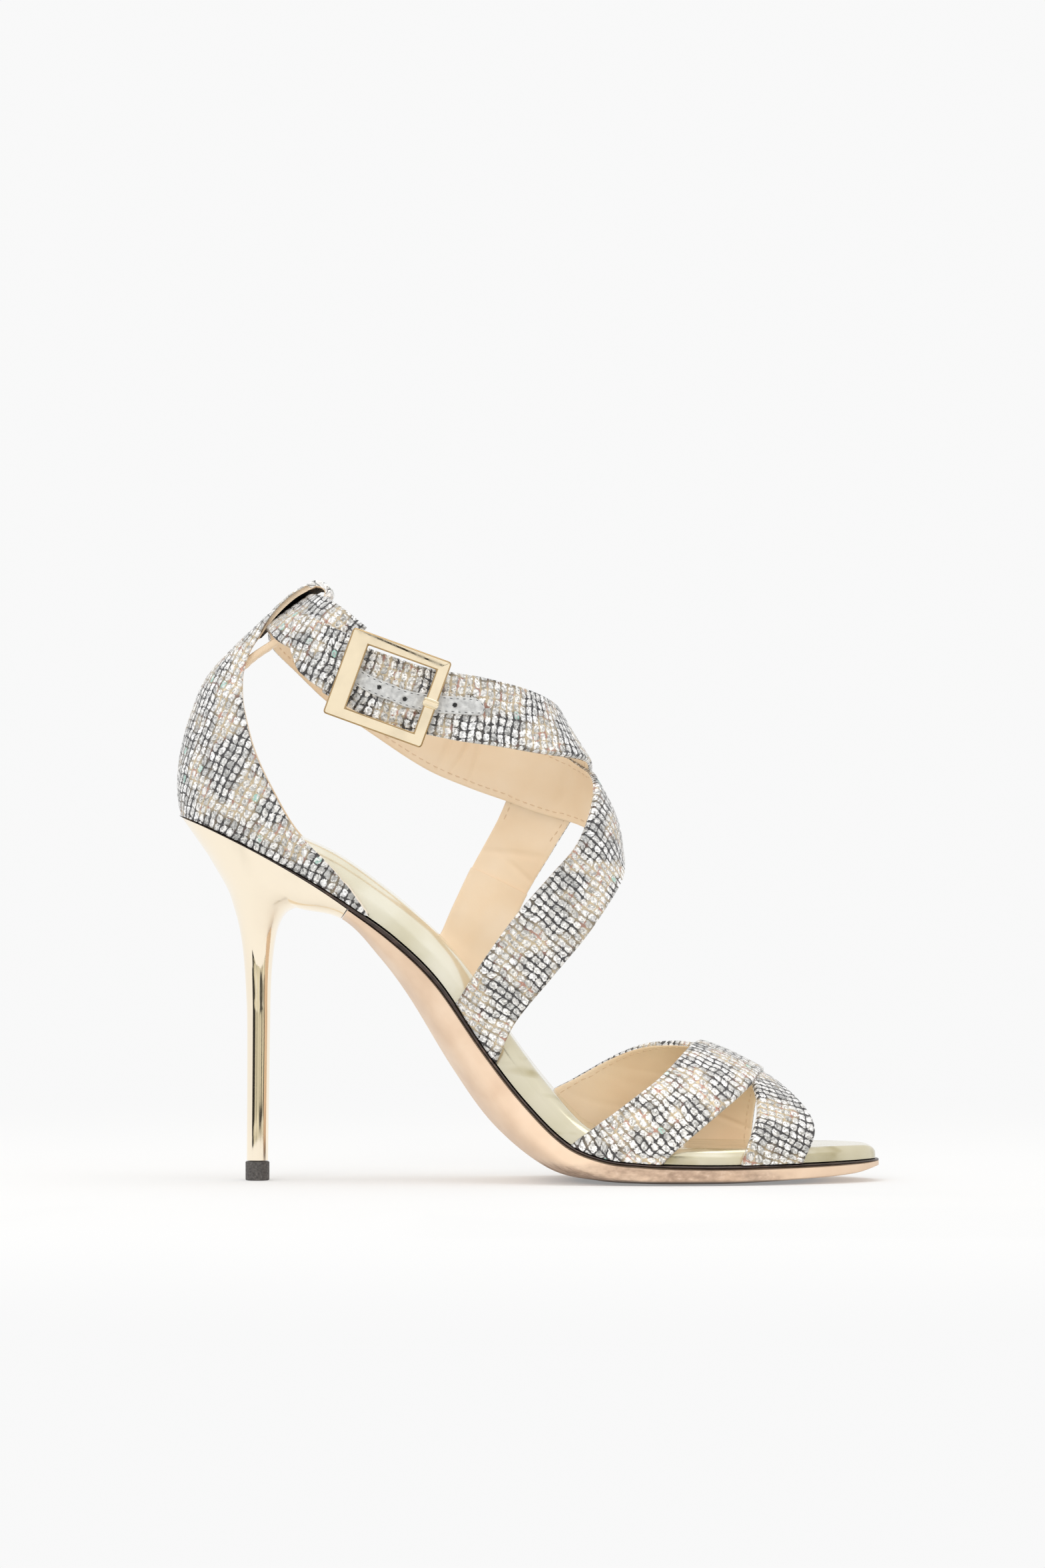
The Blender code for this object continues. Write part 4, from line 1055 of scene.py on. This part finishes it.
CHAPE_STRAP = (
    (-97.4, 164.6, -102.8, 146.8),
    (-108.0, 167.2, -107.4, 149.2),
    (-124.0, 170.6, -112.6, 151.6),
    (-141.9, 173.0, -117.6, 153.9),
)
CHAPE_RISES = (2.6, 2.6, 2.1, 1.5)
BACK_GRID, BACK_CELLS = (560, 50), 200
FRONT_GRID, FRONT_CELLS = (420, 50), 400
CHAPE_GRID, CHAPE_CELLS = (70, 50), 600
FRONT_SEWN_FROM = 120


def leg(name, z):
    place = LEG_COLUMNS.index(name)
    return through([row[0] for row in LEG_TABLE], [row[place] for row in LEG_TABLE], z)


def leg_points(degrees, z, rise):
    """Points round the leg at height z, rise outside the leg's own outline."""
    angle = np.radians(degrees)
    back = leg("back", z) - rise
    front = leg("front", z) + rise
    x = 0.5 * (back + front) + 0.5 * (front - back) * squared(np.cos(angle), LEG_SQUARE)
    y = (leg("half", z) + rise) * squared(np.sin(angle), LEG_SQUARE)
    return np.stack([x, y, z], axis=-1)


def ankle_rows(table, rises, foot=None, side=1):
    rows = []
    if foot:
        x = foot[0] + (foot[1] - foot[0]) * STRAP_ROWS
        rows.append(sole_points(x, side * half_width(x, side, FOOT_INSET), GAP))
    for (upper_deg, upper_z, lower_deg, lower_z), rise in zip(table, rises):
        degrees = upper_deg + (lower_deg - upper_deg) * STRAP_ROWS
        rows.append(leg_points(degrees, upper_z + (lower_z - upper_z) * STRAP_ROWS, rise))
    return np.array(rows)


def lining_patch(name, inner, last, inside):
    """A second layer of lining from the strap's foot up to a row, sewn on in a seam."""
    points = inner[:last]
    piece, _, _ = cloth_piece(name, points, inside, PATCH_THICKNESS, np.zeros(points.shape[:2] + (2,)),
                              coats(len(points), LINING, LINING))
    piece.data.materials.append(cup_lining)
    dress(piece, cup_lining, "glitter_ankle", "ankle_straps")


LOOP_ROWS = {15: 0.3, 16: 1.0, 17: 1.5, 18: 1.2, 19: 0.5}
BACK_CREASES = (
    (8.7, 0.5, 3.0, 0.6, 2.4, 0.7), (11.2, 0.5, -3.0, 0.4, 0.7, 0.6), (11.5, 0.4, 2.0, 0.5, 0.6, 0.65),
    (11.9, 0.55, -2.0, 0.5, 0.8, 0.6),
)
FRONT_CREASES = (
    (3.6, 0.55, 7.0, 0.5, 1.2, 0.45), (3.3, 0.75, -5.0, 0.4, 1.0, 0.4), (4.6, 0.5, 3.0, 0.6, 2.0, 0.3),
)
PATCH_END = 3
PATCH_THICKNESS = 0.5
first_rises = [LOOP_ROWS.get(row, 0.0) for row in range(len(FIRST_STRAP))]
first_rows = ankle_rows(FIRST_STRAP, first_rises, FIRST_STRAP_FOOT, -1)
second_rows = ankle_rows(SECOND_STRAP, [CROSSING_RISE] * len(SECOND_STRAP), SECOND_STRAP_FOOT, 1)
strap("ankle_strap_back", first_rows, BACK_GRID, INSIDE_ANKLE, BACK_CELLS,
      "glitter_ankle", "ankle_straps", BACK_CREASES)
second_inner = strap("ankle_strap_front", second_rows, FRONT_GRID, INSIDE_ANKLE, FRONT_CELLS,
                     "glitter_ankle", "ankle_straps", FRONT_CREASES, FRONT_SEWN_FROM)
strap("ankle_strap_fold", ankle_rows(CHAPE_STRAP, CHAPE_RISES), CHAPE_GRID, INSIDE_ANKLE, CHAPE_CELLS,
      "glitter_ankle", "ankle_straps")
second_run = run_along(second_rows)
patch_rows = int(round(FRONT_GRID[0] * second_run[PATCH_END] / second_run[-1]))
lining_patch("ankle_lining_patch", second_inner, patch_rows, INSIDE_ANKLE)

# The buckle is one cast and polished frame of pale gold metal with a wide bar at its back end,
# which the first ankle strap's end is folded round. Its top rail slopes back to its outer edge,
# and its rounded edges are painted browner than its faces, a painted dark reflection.
BUCKLE_MIDDLE = (-42.1, 149.4)
BUCKLE_SLOPE = math.radians(-20.0)
BUCKLE_LENGTH = 31.4
BUCKLE_HEIGHT = 27.4
BUCKLE_PLATE = 6.0
BUCKLE_FRONT_BAR = 3.7
BUCKLE_RAIL = 3.7
BUCKLE_THICKNESS = 2.2
BUCKLE_OUT = 2 * CROSSING_RISE + GAP
BUCKLE_CORNER = 1.0
BUCKLE_EDGE = 0.45
RAIL_SLOPE = 0.7
SHARP_CORNER = math.radians(60.0)
CORNER_ZONE = 0.4
CORNER_SEGMENTS = 4
EDGE_SEGMENTS = 3
FACE_METAL, EDGE_METAL = -1, 1
HAIR_GRAIN = (420.0, 4.0, (1.0, 1.0, 0.15))
HAIR_GLOSS = (0.3, 0.7, 0.06, 0.2)
TARNISH_GRAIN = (130.0, 3.0)
TARNISH_PLACES = (0.30, 0.55, 0.75)
TARNISH_SHADES = (0.90, 1.0, 1.04)
CAST_GRAIN = (260.0, 2.0)
CAST_RELIEF = (0.04 * MM, 0.3)


def buckle_place():
    """The buckle's own frame: X along the strap to the front, Y up across it, Z out from the leg."""
    x, z = BUCKLE_MIDDLE
    along = Vector((math.cos(BUCKLE_SLOPE), 0.0, math.sin(BUCKLE_SLOPE)))
    out = Vector((0.0, -1.0, 0.0))
    place = Matrix((along, out.cross(along), out)).transposed().to_4x4()
    place.translation = Vector((x, -float(leg("half", z)) - BUCKLE_OUT, z))
    return Matrix.Scale(MM, 4) @ place


def round_edges(body, edges, offset, segments, material):
    bmesh.ops.bevel(body, geom=edges, offset=offset, segments=segments, profile=0.5, affect="EDGES",
                    material=material)


def buckle_body():
    body = bmesh.new()
    bmesh.ops.create_grid(body, x_segments=1, y_segments=1, size=0.5)
    bmesh.ops.scale(body, vec=(BUCKLE_LENGTH, BUCKLE_HEIGHT, 1.0), verts=body.verts)
    body.faces.ensure_lookup_table()
    window = body.faces[0]
    body.normal_update()
    bmesh.ops.inset_region(body, faces=[window], thickness=BUCKLE_RAIL, use_boundary=True,
                           use_even_offset=True)
    bmesh.ops.translate(body, vec=(BUCKLE_PLATE - BUCKLE_RAIL, 0.0, 0.0),
                        verts=[vert for vert in window.verts if vert.co.x < 0])
    bmesh.ops.delete(body, geom=[window], context="FACES_ONLY")
    made = bmesh.ops.extrude_face_region(body, geom=body.faces[:], use_keep_orig=True)
    raised = [item for item in made["geom"] if isinstance(item, bmesh.types.BMVert)]
    bmesh.ops.translate(body, vec=(0.0, 0.0, BUCKLE_THICKNESS), verts=raised)
    bmesh.ops.recalc_face_normals(body, faces=body.faces)
    corners = []
    for edge in body.edges:
        one, other = edge.verts
        upright = abs(one.co.z - other.co.z) > BUCKLE_EDGE
        at_end = abs(one.co.x) > CORNER_ZONE * BUCKLE_LENGTH
        if upright and at_end and abs(one.co.y) > CORNER_ZONE * BUCKLE_HEIGHT:
            corners.append(edge)
    for vert in raised:
        if vert.co.y > 0.5 * BUCKLE_HEIGHT - GAP:
            vert.co.z -= RAIL_SLOPE
    round_edges(body, corners, BUCKLE_CORNER, CORNER_SEGMENTS, FACE_METAL)
    sharp = [edge for edge in body.edges if edge.calc_face_angle() > SHARP_CORNER]
    round_edges(body, sharp, BUCKLE_EDGE, EDGE_SEGMENTS, EDGE_METAL)
    bmesh.ops.transform(body, matrix=buckle_place(), verts=body.verts)
    return body


def pale_gold(name, tone):
    """Polished pale gold with fine hairline scratches."""
    metal = finish(name, Metallic=1.0)
    tones = [[min(shade * part, 1.0) for part in tone] for shade in TARNISH_SHADES]
    tarnish = ramp(metal, place_noise(metal, *TARNISH_GRAIN), list(zip(TARNISH_PLACES, tones)))
    wire(metal, "Base Color", tarnish)
    wire(metal, "Roughness", grade(metal, place_noise(metal, *HAIR_GRAIN), *HAIR_GLOSS))
    relief(metal, place_noise(metal, *CAST_GRAIN), *CAST_RELIEF)
    return metal


gold = pale_gold("pale_gold_metal", (0.97, 0.83, 0.60))
# Painted dark reflection: brown gold on the buckle's rounded edges.
edge_reflection_gold = pale_gold("gold_edge_painted_reflection", (0.50, 0.35, 0.18))
buckle = show("buckle_frame_cast", buckle_body())
buckle.data.set_sharp_from_angle(angle=SHARP_EDGE)
buckle.data.materials.append(gold)
dress(buckle, edge_reflection_gold, "buckle_metal", "buckle_frame")

# The prong is a short piece of the same metal bent over the buckle's front bar, with a groove
# down its middle; it turns on the bar and its point goes into a hole of the strap.
PRONG_WIDTH = 2.8
PRONG_LENGTH = 4.8
PRONG_THICKNESS = 1.4
PRONG_SQUARE = 3.0
PRONG_GROOVE = 0.45
PRONG_GROOVE_WIDTH = 0.16
PRONG_END = 0.55
PRONG_GRID = (24, 48)


def prong_points(share, turn):
    """A rounded bar along X with a groove along the top."""
    angle = 2 * np.pi * turn
    bow = 1 - np.abs(2 * share - 1) ** (2 * PRONG_SQUARE)
    swell = PRONG_END + (1 - PRONG_END) * bow ** (1 / PRONG_SQUARE)
    y = squared(np.cos(angle), PRONG_SQUARE) * 0.5 * PRONG_WIDTH * swell
    z = squared(np.sin(angle), PRONG_SQUARE) * 0.5 * PRONG_THICKNESS * swell
    z = z - PRONG_GROOVE * np.exp(-(y / (PRONG_GROOVE_WIDTH * PRONG_WIDTH)) ** 2) * (z > 0)
    x = 0.5 * (BUCKLE_LENGTH - BUCKLE_FRONT_BAR) + (share - 0.5) * PRONG_LENGTH
    points = np.stack([x, y, z + BUCKLE_THICKNESS + GAP + 0.5 * PRONG_THICKNESS], axis=-1)
    place = np.array(buckle_place()) / MM
    return points @ place[:3, :3].T + place[:3, 3]


prong = closed_loft("buckle_prong_bent", PRONG_GRID, prong_points)
dress(prong, gold, "buckle_metal", "buckle_prong")

# The hole strip is a narrow band of grained grey leather with a round front end.
# It is sewn onto the second ankle strap along its edges and punched with the buckle's holes.
HOLE_TAB = (
    (-61.5, 143.7), (-71.0, 144.1), (-79.0, 144.7), (-86.0, 146.2), (-91.0, 149.4), (-97.0, 153.4),
)
HOLE_TAB_WIDTH = 5.4
HOLE_TAB_THICKNESS = 0.9
HOLE_TAB_BLUNT = 0.25
HOLE_TAB_CROWDING = 1.6
HOLES = ((-44.7, 149.6), (-36.9, 146.0), (-21.9, 144.2))
HOLE_RADIUS = 0.7
HOLE_DEPTH = 0.6
HOLE_RIM = 1.6
HOLE_TAB_STEPS = 150
HOLE_TAB_ROWS = np.linspace(-1.0, 1.0, 41)
TAB_GRAIN = (700.0, 4.0)
TAB_TONES = ((0.30, (0.44, 0.44, 0.43)), (0.50, (0.58, 0.58, 0.565)), (0.70, (0.74, 0.74, 0.72)))
TAB_RELIEF = (0.12 * MM, 0.5)
TAB_STITCH_IN = 0.7
TAB_STITCH_PITCH = 2.0
TAB_STITCH_SIZE = (1.25, 0.34, 0.3)
TAB_HOLE_SHADE = 2


def hole_tab_rows(steps):
    rise = CROSSING_RISE + GAP + HOLE_TAB_THICKNESS
    start = leg_points(*[np.array(value) for value in HOLE_TAB[0]], rise)
    radius = 0.5 * HOLE_TAB_WIDTH
    rows = []
    for share in np.linspace(0.0, 1.0, steps + 1) ** HOLE_TAB_CROWDING:
        degrees, z = through(range(len(HOLE_TAB)), HOLE_TAB, (len(HOLE_TAB) - 1) * share)
        short = max(radius - np.linalg.norm(leg_points(degrees, z, rise) - start), 0.0)
        half = max(math.sqrt(radius ** 2 - short ** 2), HOLE_TAB_BLUNT * radius)
        heights = z - half * HOLE_TAB_ROWS
        rows.append(leg_points(np.full_like(heights, degrees), heights, rise))
    return np.array(rows)


def hole_leather():
    """Grey leather with a fine pebbled grain."""
    leather = finish("grey_leather", Specular_IOR_Level=0.6, Roughness=0.42)
    grain = place_noise(leather, *TAB_GRAIN)
    wire(leather, "Base Color", ramp(leather, grain, TAB_TONES))
    relief(leather, grain, *TAB_RELIEF)
    return leather


tab_sheet = hole_tab_rows(HOLE_TAB_STEPS)
sunk = np.zeros(tab_sheet.shape[:2])
for hole in HOLES:
    away = np.hypot(tab_sheet[..., 0] - hole[0], tab_sheet[..., 2] - hole[1])
    sunk = np.maximum(sunk, HOLE_DEPTH * np.clip(HOLE_RIM - away / HOLE_RADIUS, 0.0, 1.0))
tab_normal = outward(tab_sheet, INSIDE_ANKLE)
punched = tab_sheet - tab_normal * sunk[..., None]
tab, _, _ = cloth_piece("hole_strip", punched, INSIDE_ANKLE, HOLE_TAB_THICKNESS,
                        np.zeros(tab_sheet.shape[:2] + (2,)), coats(len(tab_sheet)))
# The holes are shallow dents; the faces within a hole's radius are painted near-black, painted shade.
for face in tab.data.polygons:
    if min(math.hypot(face.center.x / MM - x, face.center.z / MM - z) for x, z in HOLES) < HOLE_RADIUS:
        face.material_index = TAB_HOLE_SHADE
tab.data.materials.append(hole_leather())
tab.data.materials.append(lining)
# Painted shade: near-black for the holes.
hole_painted_shade = finish("hole_painted_shade", Base_Color=(0.03, 0.03, 0.03, 1.0), Roughness=0.8)
dress(tab, hole_painted_shade, "grey_leather", "hole_tab")
dark_thread = finish("grey_thread", Base_Color=(0.07, 0.07, 0.07, 1.0), Roughness=0.6)
seam = bmesh.new()
rows = np.arange(len(tab_sheet))
for edge in (TAB_STITCH_IN, -TAB_STITCH_IN):
    column = seam_columns(run_across(tab_sheet), edge)
    stitch_line(seam, tab_sheet[rows, column], tab_normal[rows, column], TAB_STITCH_PITCH, TAB_STITCH_SIZE)
bmesh.ops.recalc_face_normals(seam, faces=seam.faces)
dress(show("hole_strip_stitches", seam), dark_thread, "grey_leather", "hole_tab")

# The shoe stands on a plain white floor in soft white light from all round, stronger from above and in
# front, with a little warm light at the toes. Olive and dark cards round the heel's stem, one above
# the buckle's rail and one before the toe show only as streaks in the polished gold.
FLOOR_REACH = 6.0
FLOOR_NEAR = 0.12
FLOOR_FAR = 0.75
NEAR_FLOOR_PAINTED_LIGHT = 0.28
WHITE = 0.945
CARD_FOOT = 0.16
CARD_TALL = 0.062
OLIVE, DARK = (0.72, 0.69, 0.55, 1.0), (0.02, 0.018, 0.015, 1.0)
CARDS = (
    (-40.0, 0.27, 0.18, OLIVE), (-4.0, 0.27, 0.18, OLIVE),
    (32.0, 0.27, 0.18, OLIVE), (64.0, 0.27, 0.16, OLIVE),
    (-55.0, 0.24, 0.14, DARK), (-16.0, 0.24, 0.018, DARK),
    (36.0, 0.24, 0.03, DARK), (66.0, 0.24, 0.04, DARK),
)
CARD_FOOT_SHARE = 0.6
RAIL_CARD = (0.02, -0.5, 0.33)
RAIL_CARD_SIZE = (0.14, 0.002, 0.05)
TOE_CARD = (0.10, -0.24, 0.003)
TOE_CARD_SIZE = (0.26, 0.16, 0.002)
CARD_THICKNESS = 0.002
PLAIN_LIGHT, WARM_LIGHT = (1.0, 1.0, 1.0), (1.0, 0.92, 0.83)
WIDE, NARROW = math.radians(180.0), math.radians(30.0)
LIGHTS = (
    ("overhead", (0.0, -0.1, 1.6), (0.0, 0.0, 0.0), (1.2, 0.9), 5.0, PLAIN_LIGHT, WIDE, True),
    ("front_left", (-0.7, -1.8, 1.0), (0.0, 0.0, 0.1), (0.8, 0.8), 6.6, PLAIN_LIGHT, WIDE, False),
    ("toe_fill", (0.045, -0.3, 0.05), (0.045, 0.02, 0.03), (0.06, 0.06), 0.009, WARM_LIGHT, NARROW, False),
)


def white_floor():
    """Matt white paper with a little glow mixed in near the shoe, painted light that lifts its shadows, and
    further out as bright as the air behind it.
    """
    paper = finish("white_paper", Base_Color=(0.87, 0.868, 0.86, 1.0), Roughness=0.9,
                   Specular_IOR_Level=0.05)
    spot = node(paper, "TexCoord", {}).outputs["Object"]
    away = node(paper, "VectorMath", {0: spot}, operation="LENGTH").outputs["Value"]
    glow = node(paper, "Emission", {"Color": (1.0, 1.0, 1.0, 1.0), "Strength": WHITE}).outputs["Emission"]
    # Painted light: near the shoe the paper glows at a share of the air's brightness, lifting the shadows
    # there.
    share = grade(paper, away, FLOOR_NEAR, FLOOR_FAR, NEAR_FLOOR_PAINTED_LIGHT)
    both = node(paper, "MixShader", {0: share, 1: shader(paper).outputs["BSDF"], 2: glow})
    paper.node_tree.links.new(both.outputs[0], paper.node_tree.nodes["Material Output"].inputs["Surface"])
    return paper


def floor_body():
    body = bmesh.new()
    bmesh.ops.create_grid(body, x_segments=2, y_segments=2, size=FLOOR_REACH)
    return body


def card(name, boxes, place, tone):
    """Thin card, seen in reflections alone; boxes gives each part's size and middle."""
    body = bmesh.new()
    for size, middle in boxes:
        part = Matrix.Translation(middle) @ Matrix.Diagonal((*size, 1.0))
        bmesh.ops.create_cube(body, size=1.0, matrix=place @ part)
    piece = show(name, body)
    piece.data.materials.append(finish(name, Base_Color=tone, Roughness=0.9))
    piece.visible_camera = False
    piece.visible_diffuse = False
    piece.visible_shadow = False


def stem_card(name, angle, away, width, tone):
    """An upright card with a foot along the floor, turned round the heel's stem."""
    stem = 0.5 * (HEEL_TABLE[0][0] + HEEL_TABLE[0][2]) * MM
    place = Matrix.Translation((stem, 0.0, 0.0)) @ Matrix.Rotation(math.radians(angle), 4, "Z")
    upright = ((width, CARD_THICKNESS, CARD_TALL), (0.0, -away, 0.5 * CARD_TALL))
    foot = ((CARD_FOOT_SHARE * width, away - CARD_FOOT, CARD_THICKNESS),
            (0.0, -0.5 * (away + CARD_FOOT), CARD_THICKNESS))
    card(name, (upright, foot), place, tone)


def soft_light(name, place, aim, size, watts, tint, spread, mirrored):
    """A square lamp turned to its aim; mirrored says whether polished pieces show it."""
    lamp = bpy.data.lights.new(name, "AREA")
    lamp.color = tint
    lamp.shape = "RECTANGLE"
    lamp.size, lamp.size_y = size
    lamp.energy = watts
    lamp.spread = spread
    made = bpy.data.objects.new(name, lamp)
    made.location = place
    made.rotation_euler = (Vector(aim) - Vector(place)).to_track_quat("-Z", "Y").to_euler()
    made.visible_camera = False
    made.visible_glossy = mirrored
    bpy.context.scene.collection.objects.link(made)


floor = show("white_floor", floor_body())
floor.data.materials.append(white_floor())
for count, (angle, away, width, tone) in enumerate(CARDS):
    stem_card("stem_card_%d" % count, angle, away, width, tone)
card("rail_card", ((RAIL_CARD_SIZE, RAIL_CARD),), Matrix(), DARK)
card("toe_card", ((TOE_CARD_SIZE, TOE_CARD),), Matrix(), DARK)
sky = bpy.data.worlds.new("studio")
sky.use_nodes = True
sky.node_tree.nodes["Background"].inputs["Color"].default_value = (1.0, 1.0, 1.0, 1.0)
sky.node_tree.nodes["Background"].inputs["Strength"].default_value = WHITE
bpy.context.scene.world = sky
for light in LIGHTS:
    soft_light(*light)

# The camera stands level with the ankle and square to the shoe's outer side.
# It is far enough away to see the shoe almost flat.
VIEW_MIDDLE = (-0.0016, 0.1205)
VIEW_AWAY = 2.5
VIEW_TALL = 0.477
SENSOR = 36.0
viewer = bpy.data.cameras.new("side_view")
viewer.sensor_width = SENSOR
viewer.lens = SENSOR * VIEW_AWAY / VIEW_TALL
camera = bpy.data.objects.new("side_view", viewer)
camera.location = (VIEW_MIDDLE[0], -VIEW_AWAY, VIEW_MIDDLE[1])
camera.rotation_euler = (0.5 * math.pi, 0.0, 0.0)
bpy.context.scene.collection.objects.link(camera)
bpy.context.scene.camera = camera
bpy.context.scene.view_settings.view_transform = "Standard"
